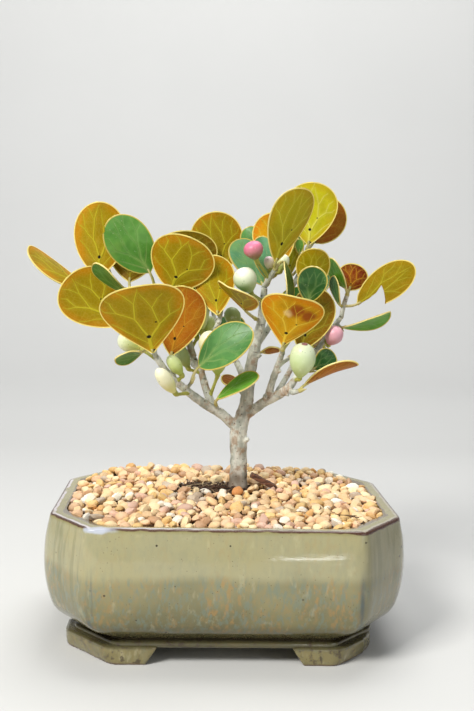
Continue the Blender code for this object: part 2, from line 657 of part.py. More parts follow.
def seat(path, station, towards, radius):
    """Where a stem of that radius starts, a hair's breadth off the path's end or its side."""
    index = min(int(station), len(path) - 2)
    part = station - index
    start, end = Vector(path[index][:3]), Vector(path[index + 1][:3])
    axis = (end - start).normalized()
    middle = start.lerp(end, part)
    out = (Vector(towards[:3]) - middle).normalized()
    slope = abs(out.dot(axis))
    steep = math.sqrt(1 - slope**2)
    if station == len(path) - 1:
        return middle + axis * (GAP + radius * steep)
    thick = path[index][3] * (1 - part) + path[index + 1][3] * part
    return middle + out * (thick + GAP + radius * slope) / steep


def blade(name, leaf, collection):
    """A leaf blade: a thin shell over a grid that is drawn into the leaf's outline."""
    base, tip = Vector(leaf.base), Vector(leaf.tip)
    axis = (tip - base).normalized()
    front = Vector((0, -1, 0))
    under = (front - axis * front.dot(axis)).normalized()
    under.rotate(Matrix.Rotation(math.radians(leaf.roll), 3, axis))
    across = axis.cross(under)
    widest = leaf.taper / (leaf.taper + 0.5)
    full = widest**leaf.taper * math.sqrt(1 - widest)
    bm = bmesh.new()
    bmesh.ops.create_grid(bm, x_segments=BLADE_COLUMNS, y_segments=BLADE_ROWS, size=1.0)
    for vert in bm.verts:
        side, row = vert.co.x, (vert.co.y + 1) / 2
        along = 1 - (1 - row) ** BLADE_ROW_CROWDING
        broad = along**leaf.taper * math.sqrt(max(0.0, 1 - along)) / full
        half = leaf.width / 2 * broad + BLADE_FOOT * (1 - along)
        lift = leaf.cup * side**2 * broad + leaf.arch * 4 * along * (1 - along)
        vert.co = mm(base + (tip - base) * along + across * side * half - under * lift)
    bmesh.ops.remove_doubles(bm, verts=bm.verts, dist=WELD)
    bmesh.ops.triangulate(bm, faces=bm.faces)
    flat = add_object(name + "_flat", mesh_from(bm, name), collection)
    shell = flat.modifiers.new("thickness", "SOLIDIFY")
    shell.thickness = BLADE_THICKNESS * MM
    shell.offset = 0.0
    made = add_object(name, baked(flat), collection)
    bpy.data.objects.remove(flat)
    return made


def petiole(name, start, leaf, collection):
    """The leaf's stalk, which bends from the twig into the line of its blade."""
    base = Vector(leaf.base)
    axis = (Vector(leaf.tip) - base).normalized()
    knee = base - axis * (base - start).length * PETIOLE_KNEE
    end = base + axis * PETIOLE_OVERLAP
    points = []
    for part in PETIOLE_PARTS:
        point = start * (1 - part) ** 2 + knee * 2 * part * (1 - part) + end * part**2
        points.append((*point, PETIOLE_RADIUS * (1 - PETIOLE_TAPER * part)))
    return tube(name, points, collection, 0)


def make_spray(name, spray, paths, collection):
    """A twig with its leaves, in one body. It adds the twig to the paths that others grow from."""
    first = spray.twig[0]
    start = seat(paths[spray.branch], spray.station, first, first[3])
    path = [(*start, first[3]), *spray.twig]
    paths[name] = path
    twig = tube(name, path, collection)
    pieces = []
    for index, leaf in enumerate(spray.leaves):
        pieces.append(blade(f"{name}_blade_{index}", leaf, collection))
        pieces.append(petiole(f"{name}_petiole_{index}", Vector(path[leaf.node][:3]), leaf, collection))
    boolean(twig, pieces, "UNION", collection)
    return finish(twig, name, spray.colour, 0.4)


def make_fig(name, fig, paths, collection):
    """A fig: a turned body on a slim stalk, in one piece."""
    neck, apex = Vector(fig.neck), Vector(fig.apex)
    axis = apex - neck
    start = seat(paths[fig.branch], fig.station, fig.neck, STALK_RADIUS)
    inside = neck + axis * STALK_INSIDE
    stalk = tube(name, [(*point, STALK_RADIUS) for point in (start, neck, inside)], collection, 0)
    bm = bmesh.new()
    verts = [
        bm.verts.new((radius * fig.radius * MM, 0, height * axis.length * MM))
        for radius, height in FIG_PROFILE
    ]
    for first, second in zip(verts, verts[1:]):
        bm.edges.new((first, second))
    turned = add_object(name + "_body", mesh_from(bm, name), collection)
    screw = turned.modifiers.new("turn", "SCREW")
    screw.steps = screw.render_steps = FIG_STEPS
    screw.use_merge_vertices = True
    screw.merge_threshold = WELD
    screw.use_normal_flip = True
    body = add_object(name + "_solid", baked(turned), collection)
    bpy.data.objects.remove(turned)
    body.data.transform(Matrix.Translation(neck * MM) @ axis.to_track_quat("Z", "Y").to_matrix().to_4x4())
    boolean(stalk, [body], "UNION", collection)
    return finish(stalk, name, fig.colour, 0.45)


def main():
    for old in list(bpy.data.objects):
        bpy.data.objects.remove(old)
    bonsai = bpy.data.collections.new("mistletoe_fig_bonsai")
    bpy.context.scene.collection.children.link(bonsai)
    make_pot(bonsai)
    make_net("drain_net_left", -DRAIN_SPACING / 2, bonsai)
    make_net("drain_net_right", DRAIN_SPACING / 2, bonsai)
    make_soil(bonsai)
    make_gravel(bonsai)
    make_chip(bonsai)
    make_trunk(bonsai)
    paths = {"trunk": TRUNK, **BRANCHES}
    for name, spray in SPRAYS.items():
        make_spray(name, spray, paths, bonsai)
    for index, fig in enumerate(FIGS):
        make_fig(f"fig_{index + 1:02}", fig, paths, bonsai)


main()
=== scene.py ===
import math
import random

import bpy
from mathutils import Matrix, Vector, noise


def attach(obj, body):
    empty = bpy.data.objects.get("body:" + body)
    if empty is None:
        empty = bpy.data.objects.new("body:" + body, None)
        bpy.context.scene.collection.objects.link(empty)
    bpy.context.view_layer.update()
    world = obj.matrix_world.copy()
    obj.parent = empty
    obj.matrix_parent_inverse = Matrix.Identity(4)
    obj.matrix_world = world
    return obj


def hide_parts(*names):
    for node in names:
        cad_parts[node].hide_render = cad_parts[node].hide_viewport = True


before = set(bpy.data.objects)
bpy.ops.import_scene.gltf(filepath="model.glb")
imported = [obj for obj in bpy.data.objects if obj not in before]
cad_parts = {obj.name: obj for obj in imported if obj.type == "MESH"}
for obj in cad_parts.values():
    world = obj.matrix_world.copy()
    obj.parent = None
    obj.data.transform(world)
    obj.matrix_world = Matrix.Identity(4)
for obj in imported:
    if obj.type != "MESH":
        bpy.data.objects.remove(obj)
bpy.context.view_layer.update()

mm = 0.001


# Small helpers for modelling

def tone(red, green, blue):  # a screen colour as the linear colour that shaders take
    def linear(value):
        part = value / 255
        return part / 12.92 if part <= 0.04045 else ((part + 0.055) / 1.055) ** 2.4
    return (linear(red), linear(green), linear(blue), 1.0)


def only(piece):
    bpy.ops.object.select_all(action="DESELECT")
    piece.select_set(True)
    bpy.context.view_layer.objects.active = piece


def welded(piece, reach, outward=False):  # points within reach (mm) of each other become one
    only(piece)
    bpy.ops.object.mode_set(mode="EDIT")
    bpy.ops.mesh.select_all(action="SELECT")
    bpy.ops.mesh.remove_doubles(threshold=reach * mm)
    if outward:
        bpy.ops.mesh.normals_make_consistent(inside=False)
    bpy.ops.object.mode_set(mode="OBJECT")


def applied(piece, kind, **settings):
    modifier = piece.modifiers.new(kind.lower(), kind)
    for name, value in settings.items():
        setattr(modifier, name, value)
    only(piece)
    bpy.ops.object.modifier_apply(modifier=modifier.name)
    return piece


def cut(piece, cutter):
    applied(piece, "BOOLEAN", operation="DIFFERENCE", object=cutter, solver="EXACT")
    bpy.data.objects.remove(cutter)


def settled(piece):  # the object's place goes into its mesh
    only(piece)
    bpy.ops.object.transform_apply(location=True, rotation=True, scale=True)
    return piece


def joined(pieces, name):
    only(pieces[0])
    for piece in pieces[1:]:
        piece.select_set(True)
    bpy.ops.object.join()
    pieces[0].name = name
    return pieces[0]


def smooth(piece, angle=None):
    only(piece)
    if angle is None:
        bpy.ops.object.shade_smooth()
    else:
        bpy.ops.object.shade_smooth_by_angle(angle=math.radians(angle))
    return piece


def wear(piece, *finishes):  # the piece's material slots, from scratch
    piece.data.materials.clear()
    for finish in finishes:
        piece.data.materials.append(finish)
    return piece


def paintPoints(piece, name, values, kind="FLOAT_COLOR"):  # one value for each point of the mesh
    layer = piece.data.attributes.new(name, kind, "POINT")
    field = {"FLOAT_COLOR": "color", "FLOAT_VECTOR": "vector", "FLOAT": "value"}[kind]
    for point, value in zip(layer.data, values):
        setattr(point, field, value)


def paintWhole(piece, kind="FLOAT_COLOR", **values):  # the same value for every point
    for name, value in values.items():
        paintPoints(piece, name, [value] * len(piece.data.vertices), kind)


def copied(source, place):  # a copy with its own mesh, put in place
    twin = source.copy()
    twin.data = source.data.copy()
    twin.data.transform(place)
    bpy.context.collection.objects.link(twin)
    return twin


def between(points, steps):  # more points on a smooth line through the ones given
    found = []
    for index in range(len(points) - 1):
        before = points[max(0, index - 1)]
        first, second = points[index], points[index + 1]
        after = points[min(len(points) - 1, index + 2)]
        for step in range(steps):
            t = step / steps
            found.append(tuple(
                0.5 * (
                    2 * b + (c - a) * t + (2 * a - 5 * b + 4 * c - d) * t**2
                    + (3 * b - a - 3 * c + d) * t**3
                )
                for a, b, c, d in zip(before, first, second, after)
            ))
    return found + [tuple(points[-1])]


def stem(name, points, sides=10, steps=4):  # a tapering round stem through points (x, y, z, radius) in mm
    bpy.ops.curve.primitive_bezier_curve_add(enter_editmode=False)
    guide = bpy.context.object
    guide.name = name
    curve = guide.data
    curve.splines.clear()
    spline = curve.splines.new("POLY")
    line = between(points, steps) if steps > 1 else points
    spline.points.add(len(line) - 1)
    for target, point in zip(spline.points, line):
        target.co = (point[0] * mm, point[1] * mm, point[2] * mm, 1)
        target.radius = point[3]
    curve.dimensions = "3D"
    curve.bevel_depth = mm
    curve.bevel_resolution = sides // 2 - 1
    curve.use_fill_caps = True
    only(guide)
    bpy.ops.object.convert(target="MESH")
    welded(bpy.context.object, 0.01, outward=True)
    return settled(bpy.context.object)


def ringBody(name, rings):  # a closed body drawn up ring by ring from a circle
    bpy.ops.mesh.primitive_circle_add(vertices=len(rings[0]), radius=1)
    piece = bpy.context.object
    piece.name = name
    mesh = piece.data
    order = mesh.attributes.new("order", "INT", "POINT")
    for index, vertex in enumerate(mesh.vertices):
        order.data[index].value = index
        vertex.co = rings[0][index]
    bpy.ops.object.mode_set(mode="EDIT")
    bpy.ops.mesh.select_all(action="SELECT")
    bpy.ops.mesh.edge_face_add()
    for ring in rings[1:]:
        bpy.ops.mesh.extrude_region_move()
        bpy.ops.object.mode_set(mode="OBJECT")
        places = mesh.attributes["order"].data
        for vertex in mesh.vertices:
            if vertex.select:
                vertex.co = ring[places[vertex.index].value]
        bpy.ops.object.mode_set(mode="EDIT")
    bpy.ops.mesh.select_all(action="SELECT")
    bpy.ops.mesh.normals_make_consistent(inside=False)
    bpy.ops.object.mode_set(mode="OBJECT")
    mesh.attributes.remove(mesh.attributes["order"])
    return piece


# Shader maths

class Wire:  # a node's output, so that sums on shader values read as plain sums
    def __init__(self, finish, socket):
        self.finish = finish
        self.socket = socket

    def __add__(self, other):
        return self.finish.maths("ADD", self, other)

    def __sub__(self, other):
        return self.finish.maths("SUBTRACT", self, other)

    def __rsub__(self, other):
        return self.finish.maths("SUBTRACT", other, self)

    def __mul__(self, other):
        return self.finish.maths("MULTIPLY", self, other)

    def __truediv__(self, other):
        return self.finish.maths("DIVIDE", self, other)

    __radd__ = __add__
    __rmul__ = __mul__


class Finish:  # a material under construction
    def __init__(self, name):
        self.material = bpy.data.materials.new(name)
        self.material.use_nodes = True
        self.tree = self.material.node_tree
        self.surface = self.tree.nodes["Principled BSDF"]

    def feed(self, socket, value):
        if isinstance(value, Wire):
            self.tree.links.new(value.socket, socket)
        else:
            socket.default_value = value

    def node(self, kind, settings=None, values=None, output=0):
        made = self.tree.nodes.new(kind)
        for name, value in (settings or {}).items():
            setattr(made, name, value)
        for name, value in (values or {}).items():
            self.feed(made.inputs[name], value)
        return Wire(self, made.outputs[output])

    def maths(self, operation, first, second=0.0, clamp=False):
        settings = {"operation": operation, "use_clamp": clamp}
        return self.node("ShaderNodeMath", settings, {0: first, 1: second})

    def vectors(self, operation, first, second=(0, 0, 0), output=0):
        return self.node("ShaderNodeVectorMath", {"operation": operation}, {0: first, 1: second}, output)

    def mix(self, share, first, second, kind="MIX"):
        settings = {"data_type": "RGBA", "blend_type": kind, "clamp_factor": True}
        return self.node("ShaderNodeMix", settings, {0: share, 6: first, 7: second}, 2)

    def coat(self, share, *colour):  # one more screen colour over what is there
        self.body = self.mix(share, self.body, tone(*colour))

    def ease(self, value, low, high):  # 0 below low, 1 above high, smooth between
        if low > high:
            return 1 - self.ease(value, high, low)
        settings = {"interpolation_type": "SMOOTHSTEP"}
        return self.node("ShaderNodeMapRange", settings, {0: value, 1: low, 2: high, 3: 0.0, 4: 1.0})

    def place(self):
        return self.node("ShaderNodeTexCoord", output="Object")

    def noise(self, scale, detail=2.0, roughness=0.5, place=None, warp=0.0):
        values = {"Vector": place or self.place(), "Scale": scale, "Detail": detail}
        values |= {"Roughness": roughness, "Distortion": warp}
        return self.node("ShaderNodeTexNoise", {}, values)

    def cells(self, scale, feature="F1", output="Distance"):
        values = {"Vector": self.place(), "Scale": scale}
        return self.node("ShaderNodeTexVoronoi", {"feature": feature}, values, output)

    def read(self, name, output="Color"):
        return self.node("ShaderNodeAttribute", {"attribute_name": name}, output=output)

    def done(self, roughness, relief, depth, **plain):  # the material, with its relief's depth in mm
        bump = self.node("ShaderNodeBump", {}, {"Height": relief, "Distance": depth * mm})
        for name, value in (("Base Color", self.body), ("Roughness", roughness), ("Normal", bump)):
            self.feed(self.surface.inputs[name], value)
        for name, value in plain.items():
            self.surface.inputs[name.replace("_", " ")].default_value = value
        return self.material


# The pot: an oblong with cut corners, from the same sizes as its solid

pot = {
    "halfLength": 73.0, "halfDepth": 59.0, "cutX": 18.3, "cutY": 25.0,
    "softening": 3.0, "lipSoftening": 7.0, "bellySoftening": 3.0, "bellyHeight": 33.0, "bellyReach": 21.0,
    "baseLow": 9.5, "baseHigh": 13.0, "baseTuck": 4.0, "footTuck": 1.5, "baseCutLess": 5.0,
    "footHeight": 6.6, "footFace": -5.0, "footWidth": 9.0, "footSoles": ((0, 3.0), (2.4, 1.8), (7.6, 0.0)),
    "footSpaceX": (32.5, 26.2), "footSpaceY": (23.0, 20.0), "footSpaceTop": 8.6, "footVoxel": 0.8,
    "footRounding": 7, "footWobble": 0.35, "wornFrom": 58.0, "wornShare": 0.5, "wobble": 0.14,
    "floorTop": 13.0, "drainSpacing": 60.0, "drainRadius": 6.0,
    "outside": [  # height, and how far out from the rim's outline
        (6.6, -7.6), (7.2, -6.3), (9.0, -6.3), (9.9, -8.4), (12.2, -5.6), (15.8, -1.9), (22.0, 0.9),
        (29.0, 2.6), (37.5, 3.1), (46.5, 2.4), (53.4, 0.9), (56.1, 0.3), (56.9, -0.5),
    ],
    "inside": [
        (57.1, -1.9), (56.8, -4.5), (55.6, -5.5), (46.0, -4.0), (30.0, -3.2), (19.0, -6.8), (13.0, -11.5),
    ],
    "grooveAt": 3, "edgeAt": 12, "lipAt": 14,  # which points of the profile are groove, rim edge and lip
    "cornerPoints": 5, "sidePoints": 12, "profileSteps": 3,
    "bandLow": 0.0355, "bandHigh": 0.0405, "crease": 53.9, "poolPlace": (-0.0515, -0.0585, 0.0562),
}


def baseShare(height):  # 1 down at the flange, 0 on the wall
    return max(0.0, min(1.0, (pot["baseHigh"] - height) / (pot["baseHigh"] - pot["baseLow"])))


def outline(height, offset, extraCut=0.0, tuck=pot["baseTuck"], softening=pot["softening"]):
    base = baseShare(height)
    halfX = pot["halfLength"] + offset - tuck * base
    halfY = pot["halfDepth"] + offset
    more = max(0.0, offset) + extraCut
    cutY = pot["cutY"] + more - pot["baseCutLess"] * base
    quarter = [Vector((halfX, halfY - cutY)), Vector((halfX - pot["cutX"] - more, halfY))]
    half = quarter + [Vector((-p.x, p.y)) for p in reversed(quarter)]
    corners = half + [-p for p in half]
    points = []
    for index, corner in enumerate(corners):
        following = corners[(index + 1) % len(corners)]
        start = corner + (corners[index - 1] - corner).normalized() * softening
        end = corner + (following - corner).normalized() * softening
        far = following + (corner - following).normalized() * softening
        for step in range(pot["cornerPoints"]):  # the corner's arc
            t = step / (pot["cornerPoints"] - 1)
            points.append(start * (1 - t) ** 2 + corner * 2 * t * (1 - t) + end * t**2)
        for step in range(1, pot["sidePoints"]):  # the flat side after it
            points.append(end.lerp(far, step / pot["sidePoints"]))
    return [Vector((p.x * mm, p.y * mm, height * mm)) for p in points]


def wallAway(x, y, halfX, halfY):  # how far inside an outline of this half size a point is
    cutX, cutY = pot["cutX"], pot["cutY"]
    corner = (halfX - abs(x)) * cutY + (halfY - abs(y)) * cutX - cutX * cutY
    return min(halfX - abs(x), halfY - abs(y), corner / math.hypot(cutX, cutY))


def runAlong(profile):  # how far up the profile each of its points is, in mm
    total, found = 0.0, [0.0]
    for first, second in zip(profile, profile[1:]):
        total += math.dist(first, second)
        found.append(total)
    return found


def makeGlaze():
    paint = Finish("celadonGlaze")
    place = paint.place()
    run = paint.read("glazeRun", "Fac")
    split = paint.node("ShaderNodeSeparateXYZ", {}, {0: place})
    side = paint.maths("ABSOLUTE", split)
    upright = Wire(paint, split.socket.node.outputs[2])
    drawn = paint.vectors("MULTIPLY", place, (1.0, 1.0, 0.4))
    moved = paint.vectors("ADD", drawn, (3.1, 1.7, 5.3))
    ripple = (paint.noise(24, 1) - 0.5) * 0.005
    # painted reflection: the wall is lighter above a set height, standing in for a bright surface mirrored in
    # the glaze
    height = paint.ease(upright + ripple, pot["bandLow"], pot["bandHigh"])
    paint.body = paint.mix(height, tone(134, 129, 94), tone(165, 160, 124))
    # painted shade: the lower wall darkens downwards, as where less light falls from above
    paint.coat(paint.ease(upright, 0.036, 0.016) * 0.8, 106, 101, 66)
    paint.coat(paint.ease(upright, 0.0076, 0.006), 124, 114, 74)
    broad = paint.noise(34, 3, 0.55)
    paint.coat(paint.ease(broad, 0.38, 0.7) * 0.35, 172, 160, 108)
    paint.coat(paint.ease(broad, 0.48, 0.28) * 0.3, 124, 122, 84)
    cloudy = paint.ease(paint.noise(60, 2, 0.5, moved), 0.3, 0.6)
    low = (1 - height) * paint.ease(upright, 0.003, 0.016) * 0.58 + 0.16
    ochre = paint.ease(paint.noise(520, 3, 0.6, drawn), 0.46, 0.66)
    paint.coat(ochre * cloudy * low, 168, 132, 76)
    cool = paint.ease(paint.noise(480, 3, 0.6, moved), 0.46, 0.66)
    paint.coat(cool * low * 0.85, 118, 132, 116)
    pale = paint.ease(paint.noise(260, 3, 0.6, paint.vectors("ADD", drawn, (7.0, 2.0, 1.0))), 0.56, 0.72)
    paint.coat(pale * 0.3, 196, 188, 150)
    streaks = paint.noise(300, 3, 0.6, paint.vectors("MULTIPLY", place, (1.0, 1.0, 0.05)))
    nearCrease = paint.maths("ABSOLUTE", side - pot["crease"] * mm) + (streaks - 0.5) * 0.0024
    crease = paint.ease(nearCrease, 0.0021, 0.0004) * paint.ease(upright, 0.012, 0.018)
    crease = crease * paint.ease(upright, 0.046, 0.028)
    paint.coat(crease * paint.ease(streaks, 0.3, 0.6) * 0.75, 66, 82, 88)
    cutFace = paint.ease(side, (pot["crease"] + 0.5) * mm, (pot["crease"] + 4) * mm)
    paint.coat(cutFace * paint.ease(streaks, 0.42, 0.62) * 0.4, 106, 108, 72)
    # painted shade: the belly's turned-under part and the flange are darker, as where they face away from the
    # light
    under = paint.ease(upright, 0.0195, 0.0125) * paint.ease(upright, 0.0058, 0.0076)
    paint.coat(under * 0.8, 74, 69, 44)
    shaded = paint.ease(split, (pot["crease"] - 1) * mm, (pot["crease"] + 4) * mm)
    paint.coat(shaded * 0.5, 96, 90, 56)  # painted shade: the right end is darker, as on the side away from the key light
    specks = paint.ease(paint.cells(620), 0.17, 0.08) * paint.ease(paint.noise(150, 2), 0.46, 0.6)
    paint.coat(specks * 0.6, 84, 66, 38)
    pits = paint.ease(paint.cells(150), 0.085, 0.05) * paint.ease(paint.noise(90, 1), 0.5, 0.56)
    paint.coat(pits * 0.9, 48, 36, 26)
    rim = paint.ease(run, pot["edgeRun"] - 2.6, pot["edgeRun"] - 0.4)
    paint.coat(rim * 0.85, 142, 134, 82)
    ragged = (paint.noise(210, 3) - 0.5) * 1.5
    thick = paint.ease(split, 0.045, 0.058) * 0.9  # the line thickens along the right cut corner
    edge = paint.ease(run + ragged + thick, pot["edgeRun"] - 1.2, pot["edgeRun"] - 0.6)
    edge = edge * paint.ease(run + ragged, pot["edgeRun"] + 0.6, pot["edgeRun"] + 0.1)
    paint.coat(edge * 0.93, 74, 36, 30)
    milky = paint.ease(run + ragged, pot["edgeRun"] + 0.1, pot["edgeRun"] + 0.5)
    milky = milky * paint.ease(run + ragged, pot["edgeRun"] + 1.7, pot["edgeRun"] + 1.1)
    leftSide = paint.ease(split, 0.03, -0.03) * 0.6 + 0.3
    paint.coat(milky * leftSide * paint.ease(paint.noise(70, 2), 0.32, 0.5), 206, 198, 204)
    away = paint.vectors("MULTIPLY", paint.vectors("SUBTRACT", place, pot["poolPlace"]), (125, 330, 620))
    pool = paint.ease(paint.vectors("LENGTH", away, output="Value") + ragged * 0.7, 1.1, 0.5)
    paint.coat(pool * 0.85, 198, 204, 218)
    inner = paint.ease(run + ragged, pot["lipRun"] - 0.1, pot["lipRun"] + 0.3)
    inner = inner * paint.ease(run, pot["lipRun"] + 1.4, pot["lipRun"] + 0.9)
    paint.coat(inner * 0.75, 84, 58, 36)
    # painted shade: a dark line in the groove over the flange, where shade falls
    groove = paint.ease(run + ragged, pot["grooveRun"] - 1.3, pot["grooveRun"] - 0.4)
    groove = groove * paint.ease(run + ragged, pot["grooveRun"] + 1.6, pot["grooveRun"] + 0.5)
    paint.coat(groove * 0.85, 62, 52, 34)
    crumbs = paint.ease(paint.noise(330, 4, 0.7), 0.54, 0.62) * paint.ease(upright, 0.0145, 0.0105)
    paint.coat(crumbs * 0.75, 58, 42, 26)
    inside = paint.ease(run, pot["lipRun"] + 6, pot["lipRun"] + 14)
    paint.coat(inside, 126, 88, 62)
    sole = paint.ease(upright + (paint.noise(300, 2) - 0.5) * 0.0012, 0.0011, 0.0004)
    paint.coat(sole, 118, 98, 72)
    rough = 0.13 + ochre * 0.06 + edge * 0.12 + sole * 0.5 + inside * 0.4 + crumbs * 0.3
    relief = paint.noise(45, 2) * 4.0 + paint.noise(150, 2) * 0.6 + paint.noise(420, 2) * 0.12
    relief = relief - pits * 0.5 + edge * 0.5
    return paint.done(rough, relief, 0.16, Coat_Weight=0.3, Coat_Roughness=0.04)


def makeWall(profile, run):
    steps = pot["profileSteps"]
    rim, lip = pot["edgeAt"] * steps, pot["lipAt"] * steps
    pot["grooveRun"], pot["edgeRun"], pot["lipRun"] = run[pot["grooveAt"] * steps], run[rim], run[lip]
    rings = []
    for index, (height, offset) in enumerate(profile):
        share = max(0.0, min(1.0, (index - rim) / (lip - rim)))
        belly = max(0.0, 1 - ((height - pot["bellyHeight"]) / pot["bellyReach"]) ** 2) if index < rim else 0.0
        soft = pot["softening"] + (pot["lipSoftening"] - pot["softening"]) * share
        rings.append(outline(height, offset, softening=soft + pot["bellySoftening"] * belly))
    return ringBody("potBody", rings)


def makeFootSpace(halves, along):  # the open space between two feet, narrower at its top
    bpy.ops.mesh.primitive_cube_add(size=1)
    space = bpy.context.object
    for vertex in space.data.vertices:
        low = vertex.co.z < 0
        narrow, wide = halves[0 if low else 1] * mm, 0.2
        x, y = (narrow, wide) if along else (wide, narrow)
        z = -mm if low else pot["footSpaceTop"] * mm
        vertex.co = (math.copysign(x, vertex.co.x), math.copysign(y, vertex.co.y), z)
    return space


def makeFeet():
    tuck = pot["footTuck"]
    soles = [outline(height, pot["footFace"], more, tuck) for height, more in pot["footSoles"]]
    feet = ringBody("potFeet", soles)
    inner = pot["footFace"] - pot["footWidth"]
    cutters = [ringBody("hollow", [outline(height, inner, 0.0, tuck) for height in (-1, 9)])]
    cutters += [makeFootSpace(pot["footSpaceX"], True), makeFootSpace(pot["footSpaceY"], False)]
    for cutter in cutters:
        cut(feet, cutter)
    applied(feet, "REMESH", mode="VOXEL", voxel_size=pot["footVoxel"] * mm)
    applied(feet, "SMOOTH", factor=0.5, iterations=pot["footRounding"])
    for vertex in feet.data.vertices:
        x, y, z = (value / mm for value in vertex.co)
        if x > pot["wornFrom"] and y < 0:  # the front right foot is worn back at its end
            rough = noise.noise(vertex.co * 260) * 0.5
            x = pot["wornFrom"] + (x - pot["wornFrom"]) * pot["wornShare"] + rough
        lump = (noise.noise(vertex.co * 90) + 0.5 * noise.noise(vertex.co * 300)) * pot["footWobble"]
        lump *= z < pot["footHeight"] - 0.6
        out = Vector((x, y, 0)).normalized() * lump
        vertex.co = Vector((x + out.x, y + out.y, z)) * mm
    return feet


def makePot():
    profile = between(pot["outside"] + pot["inside"], pot["profileSteps"])
    run = runAlong(profile)
    body = makeWall(profile, run)
    feet = makeFeet()
    for side in (-0.5, 0.5):
        place = (side * pot["drainSpacing"] * mm, 0, pot["floorTop"] / 2 * mm)
        radius = pot["drainRadius"] * mm
        bpy.ops.mesh.primitive_cylinder_add(vertices=48, radius=radius, depth=0.03, location=place)
        cut(body, settled(bpy.context.object))
    body = joined([body, feet], "celadonPot")
    runs = []
    for vertex in body.data.vertices:
        x, y, z = (abs(value) / mm for value in vertex.co)
        tuck = pot["baseTuck"] * baseShare(z)
        flat = -wallAway(x, y, pot["halfLength"] - tuck, pot["halfDepth"])
        best = min(range(len(profile)), key=lambda i: math.dist(profile[i], (z, flat)))
        runs.append(run[best] if z > pot["footHeight"] - 0.1 else -10.0)
        lump = noise.noise(vertex.co * 26) + 0.5 * noise.noise(vertex.co * 70)
        if z > pot["footHeight"]:
            vertex.co += Vector((vertex.co.x, vertex.co.y, 0)).normalized() * lump * pot["wobble"] * mm
    paintPoints(body, "glazeRun", runs, "FLOAT")
    smooth(body, 38)
    wear(body, makeGlaze())
    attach(body, "root")
    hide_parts("pot")


makePot()
print("pot made")


# Soil, drain nets and gravel

bed = {
    "edgeTop": 54.6, "rise": 3.6, "crestY": 8.0, "backHeap": 2.2, "heapFrom": 16.0, "heapReach": 28.0,
    "patchCentre": (-3.5, 9.5), "patchHalf": (17.5, 11.0), "patchTop": 58.0, "gritDrop": 1.7,
    "chipPlace": (17.8, 9.5), "chipSize": (13.0, 7.0, 2.4), "chipTilt": 28.0, "chipTurn": 6.0,
    "chipRoom": 7.6, "trunkPlace": (6.6, 11.0), "trunkRoom": 4.6, "wallInset": -5.5,
}
pebbles = {
    "seed": 11, "shapes": 14, "tries": 14000, "small": 1.9, "large": 3.6, "spacing": 0.8, "wallShare": 0.5,
    "fillTries": 5000, "fillSmall": 1.2, "fillLarge": 1.8, "lift": 0.9, "fillDrop": 1.3, "flats": 7,
    "tones": [
        (tone(250, 226, 182), 26), (tone(240, 206, 160), 20), (tone(238, 200, 162), 14),
        (tone(238, 202, 138), 12), (tone(222, 186, 166), 7), (tone(204, 188, 168), 5),
        (tone(252, 246, 232), 9), (tone(198, 158, 122), 5), (tone(224, 178, 116), 4),
    ],
    "marker": (6.2, -2.6, 3.4), "markerTone": tone(214, 146, 84),  # the ochre stone by the trunk
}


def bedTop(x, y):
    along = 1 - (x / pot["halfLength"]) ** 2
    across = 1 - ((y - bed["crestY"]) / (pot["halfDepth"] + bed["crestY"])) ** 2
    heap = max(0.0, min(1.0, (y - bed["heapFrom"]) / bed["heapReach"]))  # against the back wall
    top = bed["edgeTop"] + bed["rise"] * max(0.0, along) * max(0.0, across)
    return top + bed["backHeap"] * heap**2 * (3 - 2 * heap)


def wallDistance(x, y):
    return wallAway(x, y, pot["halfLength"] + bed["wallInset"], pot["halfDepth"] + bed["wallInset"])


def patchDistance(x, y, reach=0.0):  # under 1 inside the bare patch
    awayX = (x - bed["patchCentre"][0]) / (bed["patchHalf"][0] + reach)
    awayY = (y - bed["patchCentre"][1]) / (bed["patchHalf"][1] + reach)
    return math.hypot(awayX, awayY)


def pebbleShapes(draw):  # a few different stones, each with a radius of about one unit
    shapes = []
    for _ in range(pebbles["shapes"]):
        bpy.ops.mesh.primitive_ico_sphere_add(subdivisions=2, radius=1)
        stone = bpy.context.object
        lean = Vector([draw.uniform(-30, 30) for _ in range(3)])
        for vertex in stone.data.vertices:
            vertex.co *= 1 + noise.noise(vertex.co * 0.8 + lean) * 0.3
        for _ in range(pebbles["flats"]):  # broken and worn flats
            normal = Vector([draw.gauss(0, 1) for _ in range(3)]).normalized()
            limit = draw.uniform(0.62, 0.84)
            for vertex in stone.data.vertices:
                over = vertex.co.dot(normal) - limit
                if over > 0:
                    vertex.co -= normal * over * 0.92
        squash = Matrix.Diagonal((1.12, draw.uniform(0.75, 1.0), draw.uniform(0.55, 0.8), 1.0))
        stone.data.transform(squash)
        smooth(stone, draw.choice((24, 32, 60)))
        shapes.append(stone)
    return shapes


def pebbleFits(x, y, radius):
    return (
        wallDistance(x, y) >= radius * pebbles["wallShare"]
        and patchDistance(x, y, radius * 0.4) >= 1
        and math.dist((x, y), bed["chipPlace"]) >= bed["chipRoom"] * 0.6 + radius * 0.4
        and math.dist((x, y), bed["trunkPlace"]) >= bed["trunkRoom"] + radius
    )


def pebblePlaces(draw):  # x, y, radius and drop; small stones then fill the space between the large
    places = [(*pebbles["marker"], 0.0)]
    for small, large, tries, drop, tightness in (
        (pebbles["small"], pebbles["large"], pebbles["tries"], 0.0, 1.0),
        (pebbles["fillSmall"], pebbles["fillLarge"], pebbles["fillTries"], pebbles["fillDrop"], 0.75),
    ):
        for _ in range(tries):
            x = draw.uniform(-pot["halfLength"], pot["halfLength"])
            y = draw.uniform(-pot["halfDepth"], pot["halfDepth"])
            radius = draw.uniform(small, large)
            room = pebbles["spacing"]
            if pebbleFits(x, y, radius) and all(
                math.dist((x, y), near[:2]) > room * (radius + near[2]) * tightness for near in places
            ):
                places.append((x, y, radius, drop))
    return places


